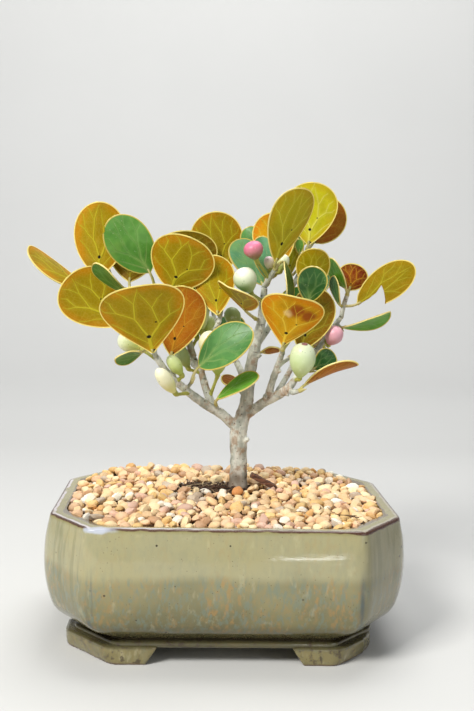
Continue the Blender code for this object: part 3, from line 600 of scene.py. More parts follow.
def makeStoneFinish():
    paint = Finish("riverPebble")
    own = paint.read("stoneTone")
    veins = paint.noise(700, 5, 0.65, warp=1.2)
    clouds = paint.noise(260, 3)
    paint.body = paint.mix(paint.ease(clouds, 0.35, 0.7) * 0.4, own, tone(248, 226, 190), "MULTIPLY")
    paint.coat(paint.ease(veins, 0.56, 0.7) * 0.4, 164, 112, 72)
    paint.coat(paint.ease(veins, 0.42, 0.28) * 0.4, 252, 240, 216)
    grains = paint.ease(paint.cells(1900), 0.2, 0.06)
    paint.coat(grains * 0.25, 110, 80, 60)
    return paint.done(0.5 + clouds * 0.3, veins * 0.6 + paint.noise(2600, 2) * 0.4, 0.12)


def makePebbles():
    draw = random.Random(pebbles["seed"])
    shapes = pebbleShapes(draw)
    tones = [colour for colour, share in pebbles["tones"] for _ in range(share)]
    stones = []
    for x, y, radius, drop in pebblePlaces(draw):
        turn = Matrix.Rotation(draw.uniform(0, math.tau), 4, "Z")
        lean = Matrix.Rotation(draw.gauss(0, 0.35), 4, "X") @ Matrix.Rotation(draw.gauss(0, 0.3), 4, "Y")
        height = bedTop(x, y) + pebbles["lift"] - drop
        if patchDistance(x, y, 4) < 1:  # round the bare patch they lie higher
            height += 0.8
        place = Matrix.Translation(Vector((x, y, height)) * mm)
        stone = copied(draw.choice(shapes), place @ turn @ lean @ Matrix.Scale(radius * mm, 4))
        shade = draw.uniform(0.82, 1.12)
        colour = draw.choice(tones)
        if (x, y) == pebbles["marker"][:2]:
            colour = pebbles["markerTone"]
        colour = (*(min(1.0, part * shade) for part in colour[:3]), 1.0)
        paintWhole(stone, stoneTone=colour)
        stones.append(stone)
    print(f"{len(stones)} pebbles")
    for shape in shapes:
        bpy.data.objects.remove(shape)
    stones = joined(stones, "topPebbles")
    wear(stones, makeStoneFinish())
    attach(stones, "root")


def makeBed():  # the dark packed grit that shows between the pebbles
    bpy.ops.mesh.primitive_grid_add(x_subdivisions=72, y_subdivisions=60, size=2)
    grit = bpy.context.object
    inset = bed["wallInset"] - 0.2
    for vertex in grit.data.vertices:
        x = vertex.co.x * (pot["halfLength"] + inset)
        y = vertex.co.y * (pot["halfDepth"] + inset)
        over = -wallAway(x, y, pot["halfLength"] + inset, pot["halfDepth"] + inset)
        if over > 0:  # the corners fold in to the cut
            slope = math.hypot(pot["cutX"], pot["cutY"])
            x -= math.copysign(over * pot["cutY"] / slope, x)
            y -= math.copysign(over * pot["cutX"] / slope, y)
        rough = noise.noise(Vector((x, y, 0)) * 0.6) * 0.35
        vertex.co = Vector((x, y, bedTop(x, y) - bed["gritDrop"] + rough)) * mm
    welded(grit, 0.02)
    applied(grit, "SOLIDIFY", thickness=4 * mm, offset=-1)
    smooth(grit)
    paint = Finish("finesGrit")
    grains = paint.cells(900, output="Color")
    shade = paint.node("ShaderNodeSeparateColor", {}, {0: grains})
    paint.body = paint.mix(shade, tone(104, 76, 52), tone(196, 156, 112))
    paint.coat(paint.ease(paint.cells(900), 0.35, 0.6) * 0.7, 58, 42, 32)
    wear(grit, paint.done(0.9, 1 - paint.cells(900), 0.5))
    grit.name = "packedGrit"
    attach(grit, "root")
    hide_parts("gravel")


makeBed()
makePebbles()
print("gravel made")

soil = {
    "seed": 5, "crumbs": 420, "crumbSizes": (0.3, 1.0), "trunkRoom": 4.4, "moundTop": 58.9,
    "fibres": 46, "fibreSteps": 6, "fibreLengths": (4, 11), "fibreRoom": 5.2,
    "bareX": (-16, 8), "bareY": (-10, 4), "looseX": (30, 62), "looseY": (-46, -20),
}


def makeEarth():
    paint = Finish("earth")
    crumbs = paint.cells(650, output="Color")
    shade = paint.node("ShaderNodeSeparateColor", {}, {0: crumbs})
    paint.body = paint.mix(shade, tone(30, 22, 18), tone(86, 62, 44))
    paint.coat(paint.ease(paint.noise(420, 4), 0.58, 0.7) * 0.6, 120, 92, 64)
    relief = (1 - paint.cells(650)) + paint.noise(1500, 3) * 0.5
    return paint.done(0.92, relief, 0.6)


def patchTop(x, y):
    rise = max(0.0, 1 - patchDistance(x, y) ** 2)
    rough = noise.noise(Vector((x, y, 3)) * 0.35) * 0.9 + noise.noise(Vector((x, y, 7)) * 1.1) * 0.3
    return bed["patchTop"] + 0.35 + (soil["moundTop"] - bed["patchTop"]) * rise + rough * (0.3 + rise)


def onPatch(across, back):  # the place at a share of the bare patch's half size
    (middleX, middleY), (halfX, halfY) = bed["patchCentre"], bed["patchHalf"]
    return middleX + across * halfX, middleY + back * halfY


def makeMound(earth, draw):  # the bare patch of soil by the trunk, with its crumbs
    bpy.ops.mesh.primitive_grid_add(x_subdivisions=40, y_subdivisions=28, size=2)
    mound = bpy.context.object
    for vertex in mound.data.vertices:
        u, v = vertex.co.x, vertex.co.y
        x, y = onPatch(u * math.sqrt(1 - v * v / 2), v * math.sqrt(1 - u * u / 2))
        vertex.co = Vector((x, y, patchTop(x, y))) * mm
    applied(mound, "SOLIDIFY", thickness=2 * mm, offset=-1)
    bits = [mound]
    bpy.ops.mesh.primitive_ico_sphere_add(subdivisions=1, radius=1)
    crumb = bpy.context.object
    for vertex in crumb.data.vertices:
        vertex.co *= 1 + noise.noise(vertex.co * 2.3) * 0.5
    for _ in range(soil["crumbs"]):
        turn, reach = draw.uniform(0, math.tau), math.sqrt(draw.uniform(0, 1.1))
        x, y = onPatch(math.cos(turn) * reach, math.sin(turn) * reach)
        if math.dist((x, y), bed["trunkPlace"]) < soil["trunkRoom"]:
            continue
        size = draw.uniform(*soil["crumbSizes"]) ** 1.6
        place = Matrix.Translation(Vector((x, y, patchTop(x, y) + size * 0.35)) * mm)
        spin = Matrix.Rotation(draw.uniform(0, 6), 4, Vector((draw.random(), draw.random(), 1)))
        bits.append(copied(crumb, place @ spin @ Matrix.Scale(size * mm, 4)))
    bpy.data.objects.remove(crumb)
    mound = smooth(joined(bits, "bareSoil"))
    wear(mound, earth)
    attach(mound, "root")


def makeFibres(draw):  # dry roots on the bare patch, and a few over the gravel in front
    fibres = []
    for index in range(soil["fibres"]):
        if index % 5 < 4:
            x = bed["patchCentre"][0] + draw.uniform(*soil["bareX"])
            y = bed["patchCentre"][1] + draw.uniform(*soil["bareY"])
        else:
            x, y = draw.uniform(*soil["looseX"]), draw.uniform(*soil["looseY"])
        heading = draw.uniform(0, math.tau)
        length = draw.uniform(*soil["fibreLengths"])
        points = []
        for _ in range(soil["fibreSteps"]):
            bend = heading + draw.uniform(-0.5, 0.5)
            x += math.cos(bend) * length / soil["fibreSteps"]
            y += math.sin(bend) * length / soil["fibreSteps"]
            top = patchTop(x, y) + 0.5 if patchDistance(x, y) < 1.05 else bedTop(x, y) + 2.1
            points.append((x, y, top + draw.uniform(0.0, 0.8), draw.uniform(0.13, 0.24)))
        if all(
            wallDistance(x, y) > 1 and math.dist((x, y), bed["trunkPlace"]) > soil["fibreRoom"]
            for x, y, *_ in points
        ):
            fibres.append(stem("fibre", points, 4, 3))
    paint = Finish("rootFibre")
    shade = paint.ease(paint.noise(70, 1), 0.42, 0.58)
    paint.body = paint.mix(shade, tone(84, 54, 34), tone(206, 182, 140))
    fibres = smooth(joined(fibres, "rootFibres"))
    wear(fibres, paint.done(0.8, paint.noise(2400, 2), 0.05))
    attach(fibres, "root")


def dressNode(name, finish):  # a solid whose shape is right gets its finish
    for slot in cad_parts[name].material_slots:
        slot.material = finish


earth = makeEarth()
dressNode("soil", earth)
drawSoil = random.Random(soil["seed"])
makeMound(earth, drawSoil)
makeFibres(drawSoil)


def makeNetFinish():
    paint = Finish("netPlastic")
    wave = paint.noise(900, 2)
    paint.body = paint.mix(wave, tone(28, 28, 30), tone(52, 52, 54))
    return paint.done(0.5 + wave * 0.2, wave, 0.05)


netFinish = makeNetFinish()
for netName in ("drain_net_left", "drain_net_right"):
    dressNode(netName, netFinish)


def makeChip():
    length, width, thickness = bed["chipSize"]
    tilt = math.radians(bed["chipTilt"])
    bpy.ops.mesh.primitive_cube_add(size=1)
    chip = bpy.context.object
    chip.name = "barkChip"
    bpy.ops.object.mode_set(mode="EDIT")
    bpy.ops.mesh.select_all(action="SELECT")
    bpy.ops.mesh.subdivide(number_cuts=11)
    bpy.ops.object.mode_set(mode="OBJECT")
    for vertex in chip.data.vertices:
        x, y, z = vertex.co
        ragged = 1 - 0.22 * abs(noise.noise(Vector((x * 4, 0, 8)))) - 0.5 * max(0.0, abs(x) - 0.3)
        flakes = noise.noise(Vector((x * 2.5, y * 9, z * 3))) * 0.26
        step = 0.16 if z > 0.2 and noise.noise(Vector((x * 3, y * 4, 2))) > 0.02 else 0.0
        high = z * (0.86 - step) + flakes * (abs(z) > 0.4) * 0.5
        vertex.co = (x * length * (0.95 - 0.12 * y), y * width * ragged, high * thickness)
    turn = Matrix.Rotation(math.radians(bed["chipTurn"]), 4, "Z") @ Matrix.Rotation(tilt, 4, "Y")
    lowX = bed["chipPlace"][0] + length / 2 * math.cos(tilt)
    rise = length / 2 * math.sin(tilt) + thickness / 2 * math.cos(tilt)
    height = bedTop(lowX, bed["chipPlace"][1]) + 0.3 + rise  # its low end is just clear of the gravel
    place = Matrix.Translation(Vector((*bed["chipPlace"], height)) * mm)
    chip.data.transform(place @ turn @ Matrix.Scale(mm, 4))
    applied(chip, "BEVEL", width=0.25 * mm, segments=2, limit_method="ANGLE", angle_limit=math.radians(40))
    smooth(chip, 50)
    paint = Finish("chipBark")
    grain = paint.vectors("MULTIPLY", paint.place(), (0.3, 2.0, 1.6))
    bands = paint.noise(500, 5, 0.7, grain)
    paint.body = paint.mix(paint.ease(bands, 0.36, 0.64), tone(52, 32, 24), tone(128, 84, 60))
    paint.coat(paint.ease(paint.noise(300, 3), 0.6, 0.7) * 0.6, 164, 132, 108)
    wear(chip, paint.done(0.82, bands, 0.5))
    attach(chip, "root")
    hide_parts("bark_chip")


makeChip()
print("soil, nets and chip made")


# Trunk and branches, as (x, y, z, radius) in mm

limbs = {
    "trunk": [
        (6.6, 11, 36, 4.2), (6.6, 11, 54, 4.9), (6.6, 11, 59, 4.7), (6.6, 11, 63, 4.1),
        (6.6, 11, 73, 3.8), (6.2, 11, 84, 4.0), (7.6, 11, 90, 3.6), (9.6, 11, 98, 3.1),
        (10.3, 10.5, 106, 2.9), (11.3, 10, 115, 2.7), (13.3, 9, 126, 2.5), (15.3, 8, 135, 2.1),
        (15.8, 7.5, 143, 1.7), (16.4, 7, 151, 1.4),
    ],
    "left_front": [
        (6.4, 11, 85, 2.2), (-1, 9, 92.5, 2.3), (-8, 5.5, 97, 2.1), (-15, 0, 102.5, 1.9),
        (-21, -5, 108, 1.7), (-27, -10, 114.5, 1.5), (-31, -14, 121, 1.4),
    ],
    "left_back": [
        (-5, 8, 94.5, 1.8), (-9, 11, 104, 1.8), (-11.5, 13, 112, 1.6), (-16, 14, 120, 1.3),
        (-18.5, 14, 128.5, 1.1),
    ],
    "left_middle": [(-11, 12.5, 111, 1.1), (-9, 10.5, 121, 1.1), (-6, 8, 130.5, 1.1), (-4, 5.5, 135, 1.0)],
    "right_front": [
        (9.2, 11, 91.5, 2.0), (16.5, 6.5, 98.5, 2.2), (22.5, 2, 102.5, 2.1), (27.5, -3, 107, 1.9),
        (31, -4, 112, 1.4), (35.5, 4, 116.5, 1.3), (43, 12, 125, 1.2), (49, 18, 132, 1.2),
        (53, 20, 137.5, 1.2),
    ],
    "right_twig": [(18.5, 5, 100, 1.6), (20.5, 1.5, 109, 1.6), (22.5, -2, 116.5, 1.4), (24, -6, 122.5, 1.2)],
    "upper_right": [
        (13.2, 9.2, 124, 1.4), (19, 12, 132.5, 1.4), (26, 19, 144.5, 1.3), (32, 24.5, 154, 1.2),
        (35, 27, 160, 1.1),
    ],
    "back": [(10.3, 11, 104, 1.7), (6, 20, 114, 1.5), (0, 29, 124, 1.3), (-5, 34, 134, 1.1)],
    "back_left": [(-11.5, 13, 112, 1.2), (-17, 20, 116, 1.2), (-24, 27, 121, 1.1)],
    "back_right": [(22, 2.5, 102.3, 1.4), (28, 14, 110, 1.3), (34, 25, 119, 1.2), (38, 31, 126, 1.1)],
}
wood = {
    "seed": 8, "voxel": 0.42, "lump": 0.09, "nodeEvery": 7.5, "nodeSwell": 1.06,
    "stubs": [  # where a leaf or twig fell off: limb, station, direction, length, radius
        ("trunk", 4.6, (1, -0.6, 0.5), 1.8, 1.2), ("trunk", 7.5, (-1, -0.7, 0.4), 1.6, 1.0),
        ("trunk", 9.3, (1, -0.8, 0.6), 2.6, 0.9), ("trunk", 10.6, (0.2, -1, 0.4), 1.6, 0.9),
        ("right_front", 1.3, (-0.3, -0.8, 1), 2.0, 1.1), ("right_front", 2.6, (0.7, -1, -0.5), 1.8, 1.0),
        ("left_front", 2.5, (-0.4, -1, 0.5), 1.8, 0.8), ("left_front", 3.6, (0.3, -1, 0.6), 2.2, 0.7),
        ("left_front", 4.5, (-0.5, -0.9, 0.7), 1.8, 0.7), ("left_back", 1.4, (0.6, -1, 0.2), 1.5, 0.8),
        ("right_twig", 1.6, (0.9, -0.6, 0.3), 1.6, 0.7), ("back", 1.4, (0.4, 1, 0.3), 1.8, 0.8),
        ("back_right", 1.5, (0.3, 1, 0.2), 1.8, 0.8),
    ],
}


def pointOn(path, station):  # the point and radius at a station along a path's points
    index = min(int(station), len(path) - 2)
    part = station - index
    first, second = path[index], path[index + 1]
    return tuple(a + (b - a) * part for a, b in zip(first, second))


def jointed(path, draw):  # a limb with the slight swellings of its old leaf joints
    line = between(path, 5)
    found, travelled, following = [line[0]], 0.0, wood["nodeEvery"] * draw.uniform(0.4, 1)
    for before, point in zip(line, line[1:]):
        travelled += math.dist(before[:3], point[:3])
        swell = 1.0
        if travelled > following:
            swell = wood["nodeSwell"]
            following += wood["nodeEvery"] * draw.uniform(0.7, 1.3)
        found.append((*point[:3], point[3] * swell))
    return found


def makeBark(name, young=False):
    paint = Finish(name)
    place = paint.place()
    upright = paint.node("ShaderNodeSeparateXYZ", {}, {0: place}, 2)
    tall = paint.vectors("MULTIPLY", place, (1, 1, 0.22))
    flat = paint.vectors("MULTIPLY", place, (0.45, 0.45, 1.5))
    patches = paint.noise(170, 4, 0.6)
    paint.body = paint.mix(paint.ease(patches, 0.36, 0.66), tone(160, 163, 150), tone(220, 221, 208))
    paint.coat(paint.ease(paint.noise(300, 3, 0.5, tall), 0.5, 0.64) * 0.6, 222, 218, 206)
    brown = paint.ease(paint.noise(150, 4, 0.65), 0.52, 0.64)
    paint.coat(brown * 0.65, 158, 120, 84)
    specks = paint.ease(paint.cells(520), 0.2, 0.11) * paint.ease(paint.noise(240, 2), 0.44, 0.56)
    paint.coat(specks * 0.9, 48, 34, 26)
    lenticels = paint.ease(paint.noise(560, 3, 0.55, flat), 0.65, 0.7)
    paint.coat(lenticels * 0.8, 74, 52, 38)
    lines = paint.ease(paint.noise(800, 4, 0.7, tall), 0.54, 0.68)
    paint.coat(lines * 0.3, 106, 94, 76)
    foot = paint.ease(upright + (paint.noise(200, 3) - 0.5) * 0.012, 0.072, 0.058)
    paint.coat(foot * 0.75, 112, 82, 56)
    if young:
        paint.coat(paint.ease(paint.noise(110, 2), 0.45, 0.6) * 0.55, 140, 134, 84)
    relief = paint.noise(520, 4, 0.6, tall) + lenticels * 0.6 - lines * 0.4
    return paint.done(0.66 + patches * 0.15, relief, 0.22)


bark = makeBark("greyBark")
youngBark = makeBark("youngBark", True)


def makeTrunk():
    draw = random.Random(wood["seed"])
    pieces = []
    for name, path in limbs.items():
        pieces.append(stem(name, jointed(path, draw), 12, 1))
    for limb, station, direction, length, radius in wood["stubs"]:
        x, y, z, thick = pointOn(limbs[limb], station)
        out = Vector(direction).normalized()
        start = Vector((x, y, z))
        collar, end = start + out * thick * 0.8, start + out * (thick + length)
        points = [(*start, radius), (*collar, radius * 1.35), (*end, radius * 0.75)]
        pieces.append(stem("stub", points, 10, 3))
    trunk = joined(pieces, "trunkAndBranches")
    applied(trunk, "REMESH", mode="VOXEL", voxel_size=wood["voxel"] * mm)
    applied(trunk, "SMOOTH", factor=0.5, iterations=2)
    normals = [vertex.normal.copy() for vertex in trunk.data.vertices]
    for vertex, normal in zip(trunk.data.vertices, normals):
        tall = Vector((vertex.co.x, vertex.co.y, vertex.co.z * 0.4))
        lump = noise.noise(vertex.co * 420) + 0.6 * noise.noise(tall * 900)
        vertex.co += normal * lump * wood["lump"] * mm
    smooth(trunk)
    wear(trunk, bark)
    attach(trunk, "root")
    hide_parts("trunk")


makeTrunk()
print("trunk made")


# Leaves. A blade runs from base to tip; roll 0 turns its underside to the front and 180 its upper
# side. The cup lifts its edges, the arch its middle, and a high taper makes it a fan, a low one round.

blades = {
    "thickness": 0.55, "columns": 14, "rows": 22, "crowding": 1.8, "foot": 0.6, "wave": 0.3,
    "petioleRadius": 0.75, "petioleTaper": 0.25, "petioleSteps": 6, "knee": 0.4, "overlap": 2.0, "gap": 0.3,
    "veinAspect": 0.8, "noSpot": (9.0, 9.0, 0.1), "rimSteps": 60,
    "veins": [  # half a leaf: ends in widths and lengths of the blade, and the vein's half width
        ((0, -0.05), (0, 0.22), 0.0181), ((0, 0.22), (0.13, 0.45), 0.0123),
        ((0.13, 0.45), (0.10, 0.70), 0.0087), ((0.03, 0.86), (0, 0.95), 0.0035),
        ((0.19, 0.84), (0.27, 0.9), 0.0035), ((0.42, 0.62), (0.47, 0.68), 0.0032),
        ((0.33, 0.75), (0.4, 0.81), 0.0032), ((0.10, 0.70), (0.03, 0.86), 0.0061),
        ((0.10, 0.70), (0.19, 0.84), 0.0061), ((0.13, 0.45), (0.30, 0.58), 0.0087),
        ((0.30, 0.58), (0.42, 0.62), 0.0058), ((0.30, 0.58), (0.33, 0.75), 0.0058),
        ((0, 0.10), (0.22, 0.29), 0.0055), ((0.22, 0.29), (0.40, 0.42), 0.0043),
    ],
}
underTones = {  # the middle, the part near the edge, and the veins
    "amber": (tone(152, 128, 2), tone(184, 122, 2), tone(192, 178, 40)),
    "shaded": (tone(112, 92, 2), tone(134, 92, 2), tone(160, 144, 36)),
    "orange": (tone(208, 152, 6), tone(208, 122, 4), tone(232, 196, 60)),
    "brown": (tone(166, 94, 8), tone(152, 80, 6), tone(196, 138, 36)),
    "gold": (tone(192, 186, 20), tone(190, 164, 14), tone(226, 218, 92)),
    "olive": (tone(172, 158, 4), tone(182, 148, 6), tone(208, 196, 56)),
    "bronze": (tone(150, 130, 2), tone(164, 128, 2), tone(190, 176, 46)),
    "russet": (tone(138, 52, 12), tone(120, 42, 10), tone(206, 148, 40)),
}
upperTones = {
    # teal and mint: partly the leaf's own green and partly a painted bluish reflection of the sky in the
    # glossy upper side
    "sage": tone(88, 142, 52), "teal": tone(88, 142, 70), "bright": tone(96, 158, 30),
    "deep": tone(46, 92, 34), "leaf": tone(68, 126, 42), "mint": tone(104, 158, 118),
}


def leaf(node, base, tip, width, roll=0, cup=1.5, arch=1.0, taper=0.9, **looks):  # node: the twig's joint
    shape = {"width": width, "roll": roll, "cup": cup, "arch": arch, "taper": taper}
    ends = {"base": Vector(base), "tip": Vector(tip)}
    return {"node": node, **ends, **shape, "under": "amber", "upper": "leaf", **looks}


sprays = {  # limb, station on it, twig points, leaves, slot
    "spray_left_front": ("left_front", 6, [(-32, -14, 126, 1.1), (-35, -10, 134, 1.0), (-39, -7, 142, 0.9)], [
        leaf(1, (-32.2, -17.5, 122.8), (-38.6, -33, 151.4), 35.5, -4, 2.0, 0.5, 1.1),
        leaf(2, (-49, -6, 133), (-69, -8, 155), 26, 6),
        leaf(3, (-43.6, -12, 147.6), (-57, -19, 160.4), 14.5, 115, 0.5),
        leaf(1, (-37, -13, 122.5), (-48.5, -17, 119.5), 11, 120, 0.5, 0.5),
    ], "leaf_amber"),
    "spray_left_inner": ("left_front", 4.3, [(-24, -1, 113, 1.0)], [
        leaf(1, (-25, 1.6, 120), (-18.5, 0.1, 151), 22, 0, under="brown"),
    ], "leaf_amber"),
    "spray_upper_left": ("left_back", 4, [
        (-24, 14, 136, 1.1), (-33, 14, 143, 1.0), (-44, 14, 148, 0.9), (-54, 12.5, 151, 0.9),
    ], [
        leaf(2, (-35.2, 10, 156.6), (-52, 3, 180.6), 20, 180, 1.0, 1.0, 0.7, upper="sage",
            bite=[(0.3, 0.89), (0.45, 0.86), (0.42, 1.0), (0.24, 0.955), (0.265, 0.925)]),
        leaf(3, (-45, 18, 152), (-43, 23, 173), 22, 0, under="shaded"),
        leaf(4, (-58.4, 13, 155), (-58.4, 15, 188), 23, 0, 1.5, 1.0, 0.7),
        leaf(4, (-62, 10, 148), (-89, 6, 167), 15, 65, 1.0, 1.5),
    ], "leaf_amber"),
    "spray_upper_middle": ("left_back", 2.6, [
        (-17, 10, 127, 1.1), (-21, 10, 136, 1.0), (-24.5, 10, 145, 0.9),
    ], [
        leaf(3, (-25.5, 5, 149), (-17, -3, 172.5), 28.5, 0, 1.5, 1.0, 0.7),
        leaf(3, (-19, 17, 153), (-20, 16, 176), 29, 0, 1.5, 1.0, 0.7, under="shaded",
            spots=[(-0.43, 0.72, 0.06)]),
    ], "leaf_amber"),
    "spray_middle": ("left_middle", 3, [(-2.5, 9, 142, 1.0), (0, 15, 150, 0.9), (1.5, 20, 156, 0.8)], [
        leaf(1, (-4.6, 2.2, 138.5), (-7.6, 5.6, 165), 18.5, 0),
        leaf(3, (-1.8, 22, 158), (-8, 24, 185), 24, 0, 1.5, 1.0, 0.7),
        leaf(3, (-4, 28, 163), (-14, 32, 181), 12, 200, 1.0, upper="bright"),
    ], "leaf_amber"),
    "spray_centre": ("trunk", 13, [(18.5, 3.5, 155.5, 1.2), (20.5, 0, 159.5, 1.1)], [
        leaf(2, (20.2, -3, 162.5), (31.2, -14, 194), 21, 35, under="olive"),
        leaf(1, (23, 15, 161), (19, 17, 185), 19, 0, 1.5, 1.0, 0.7, under="orange"),
        leaf(1, (18, 20, 163), (8, 23, 178), 11, 180, 1.0, upper="teal"),
        leaf(1, (16, 13, 152), (3, 17, 172), 15, 200, 1.0, upper="mint"),
        leaf(1, (17.5, 8.5, 155), (14.5, 9, 174), 10, 180, 1.0, upper="mint"),
        leaf(2, (24.5, 1, 163), (27, 0, 144), 11, 112, 0.5, upper="deep"),
    ], "leaf_amber"),
    "spray_top_right": ("upper_right", 4, [(36.5, 28.5, 165, 1.0), (37.5, 29.5, 169, 0.9)], [
        leaf(2, (38, 29.5, 171), (40.4, 29, 200.2), 24, 0, under="gold"),
        leaf(2, (41, 35, 172), (52, 39, 193), 20, 0, 1.5, 1.0, 0.7, under="brown"),
        leaf(1, (29, 22, 157), (30, 21, 173.5), 10, 30, 0.5, under="gold"),
        leaf(1, (33, 22, 167), (32.6, 21, 173.6), 4.4, 200, 0.3, 0.3, upper="bright"),
        leaf(1, (37, 44, 171), (40, 50, 194), 20, 180),
    ], "leaf_amber"),
    "spray_right_inner": ("upper_right", 2.2, [(30, 15, 145, 1.0), (34, 12, 146, 0.9)], [
        leaf(2, (38, 16, 149), (39.5, 9, 169), 15, 0, 2.0, 1.5, 0.7, under="olive"),
    ], "leaf_amber"),
    "spray_right": ("right_front", 8, [(54.5, 21.5, 143, 1.1), (56, 22, 148, 1.0)], [
        leaf(2, (57.5, 26, 150), (61, 28, 162.5), 14, 0, 0.5, 0.5, 0.7, under="russet"),
        leaf(1, (60.6, 20, 143.8), (86.6, 20, 162.4), 16, 0, 1.0, 1.0, 0.7, under="bronze", glands=0.0,
            bite=[
                (-0.06, 0.452), (0.11, 0.436), (0.353, 0.385), (0.65, 0.278), (0.65, -0.2), (0.05, -0.1),
                (0.04, 0.067), (0.058, 0.188), (0.036, 0.324),
            ]),
        leaf(2, (55, 19, 151), (47, 16, 165), 11, 115, 0.5, upper="bright"),
        leaf(1, (52.5, 20, 143), (49, 18, 157), 8, 110, 0.5, 0.5, upper="deep"),
    ], "leaf_amber"),
    "spray_right_front": ("right_twig", 3, [(24, -8, 124.5, 1.1)], [
        leaf(1, (23.8, -10, 126.4), (28, -26, 148), 27, 0, 2.5, 1.0, 1.1, under="orange",
            spots=[(0.07, 0.72, 0.14), (0.26, 0.64, 0.12)], scar=(-0.05, 0.64, 0.075)),
        leaf(1, (35.6, 1, 144.5), (37.6, -3, 161), 13, 180, 1.0, upper="deep"),
    ], "leaf_amber"),
    "spray_right_behind": ("right_twig", 2, [(28, -1, 120.5, 1.0)], [
        leaf(1, (32.4, -1, 123.6), (42, 5.5, 151), 20, 0, under="shaded"),
    ], "leaf_amber"),
    "spray_right_low": ("right_front", 3, [(29, -7, 105.5, 1.2), (32, -8.5, 106.5, 1.0)], [
        leaf(2, (34, -8, 109), (57, -12, 119), 14, 65, 1.0, 1.5, under="brown"),
    ], "leaf_russet"),
    "leaf_right_green": ("right_front", 7.5, [(52.5, 16, 133, 0.9)], [
        leaf(1, (53, 14, 133.2), (74, 8, 141.2), 15, 245, 2.0, upper="bright"),
    ], "leaf_green"),
    "leaf_right_shade": ("right_front", 4.6, [(37, -1, 114.5, 0.8)], [
        leaf(1, (38.6, 0, 115.3), (48.2, 2, 122.3), 10, 180, 0.5, 0.5, upper="deep"),
    ], "leaf_green"),
    "leaf_middle_front": ("trunk", 11.1, [(12.5, 4, 137, 0.9)], [
        leaf(1, (7.4, 0, 141), (-0.6, -18, 151.4), 20, -64, 1.5, 1.0, 0.7),
    ], "leaf_amber"),
    "leaf_low_front": ("left_front", 3.5, [(-15.5, -4.5, 109, 0.8)], [
        leaf(1, (-12.5, -5.5, 116), (10.5, -12, 133), 18.5, 145, 1.5, 1.5, 0.7, upper="teal"),
    ], "leaf_green"),
    "leaf_fork": ("left_front", 1.3, [(-4.5, 4, 98, 0.8)], [
        leaf(1, (-4, 1, 101), (14, -8, 112.5), 11, 118, 0.8, upper="bright"),
    ], "leaf_green"),
    "leaf_behind_fork": ("back", 0.5, [(7, 19, 106.5, 0.8)], [
        leaf(1, (7, 20, 106.5), (-2, 21, 108.5), 8, 60, 0.3, 0.3, under="brown"),
    ], "leaf_russet"),
    "leaf_behind_stem": ("trunk", 9.6, [(14.5, 15, 121, 0.8)], [
        leaf(1, (16, 16, 121), (25, 16, 122), 7, 60, 0.3, 0.3, under="brown"),
    ], "leaf_russet"),
    "spray_back_left": ("back_left", 2, [(-30, 29, 128, 1.0), (-38, 30, 138, 0.9), (-48, 32, 148, 0.9)], [
        leaf(1, (-29, 33, 126), (-36, 42, 147), 22, 180, upper="deep"),
        leaf(2, (-56, 26, 135), (-68, 33, 153), 19, 180, upper="leaf"),
        leaf(3, (-56, 34, 158), (-59, 41, 183), 20, 180, 1.5, 1.0, 0.7, under="olive"),
    ], "leaf_amber"),
    "spray_back_middle": ("back", 3, [(-7, 36, 142, 1.0), (-8, 38, 149, 0.9)], [
        leaf(1, (-8, 41, 139), (-9, 49, 163), 21, 180, under="orange"),
        leaf(2, (-16, 38, 152), (-25, 44, 174), 22, 180, 1.5, 1.0, 0.7),
        leaf(2, (-1, 40, 160), (-4, 46, 181), 18, 180, under="gold"),
    ], "leaf_amber"),
    "leaf_back_low": ("back", 1.8, [(3, 33, 119, 0.8)], [
        leaf(1, (3, 35, 121), (1, 44, 136), 16, 180, under="olive"),
    ], "leaf_amber"),
    "spray_back_right": ("back_right", 3, [(39, 34, 133, 1.0), (41, 36, 141, 0.9)], [
        leaf(1, (38, 37, 129), (36, 46, 151), 21, 180),
        leaf(2, (44, 39, 146), (46, 46, 164), 14, 180, under="orange"),
    ], "leaf_amber"),
}


def veinMask(paint, along, across, spread):  # 1 on a vein, 0 off it; also the distance in vein widths
    point = paint.node("ShaderNodeCombineXYZ", {}, {0: across, 1: along})
    nearest = None
    for (ax, ay), (bx, by), half in blades["veins"]:
        start = Vector((ax * blades["veinAspect"], ay, 0))
        line = Vector((bx * blades["veinAspect"], by, 0)) - start
        offset = paint.vectors("SUBTRACT", point, start)
        share = paint.vectors("DOT_PRODUCT", offset, line / line.length_squared, "Value")
        share = paint.maths("MULTIPLY", share, 1.0, True)
        foot = paint.node("ShaderNodeVectorMath", {"operation": "SCALE"}, {0: tuple(line), 3: share})
        distance = paint.vectors("DISTANCE", offset, foot, "Value") / half
        nearest = distance if nearest is None else paint.maths("MINIMUM", nearest, distance)
    return paint.ease(nearest, spread, 0.6), nearest


def leafSpace(paint):  # the blade's own coordinates, a little warped so that its two halves differ
    spot = paint.node("ShaderNodeUVMap", {"uv_map": "leafMap"})
    split = paint.node("ShaderNodeSeparateXYZ", {}, {0: spot})
    rise = Wire(paint, split.socket.node.outputs[1])
    across = split - 0.5
    side = paint.maths("SIGN", across)
    wander = (paint.noise(85, 0) - 0.5) * 0.2
    drift = (paint.noise(65, 0) - 0.5) * 0.22
    warp = paint.ease(rise, 0.2, 0.4)
    bent = paint.maths("ABSOLUTE", across) * blades["veinAspect"] + wander * 0.5 * warp
    return rise + side * 0.035 + drift * warp, bent, across, rise


def dotMask(paint, across, rise, x, y, radius):
    flat = paint.node("ShaderNodeCombineXYZ", {}, {0: across * blades["veinAspect"], 1: rise})
    distance = paint.vectors("DISTANCE", flat, (x * blades["veinAspect"], y, 0), "Value")
    return paint.ease(distance, radius, radius * 0.55)


def spotMask(paint, name):  # 1 inside a marked spot, ragged at its edge
    ragged = (paint.noise(420, 3) - 0.5) * 0.9
    away = paint.vectors("LENGTH", paint.read(name, "Vector"), output="Value")
    return paint.ease(away + ragged, 1.3, 0.5)


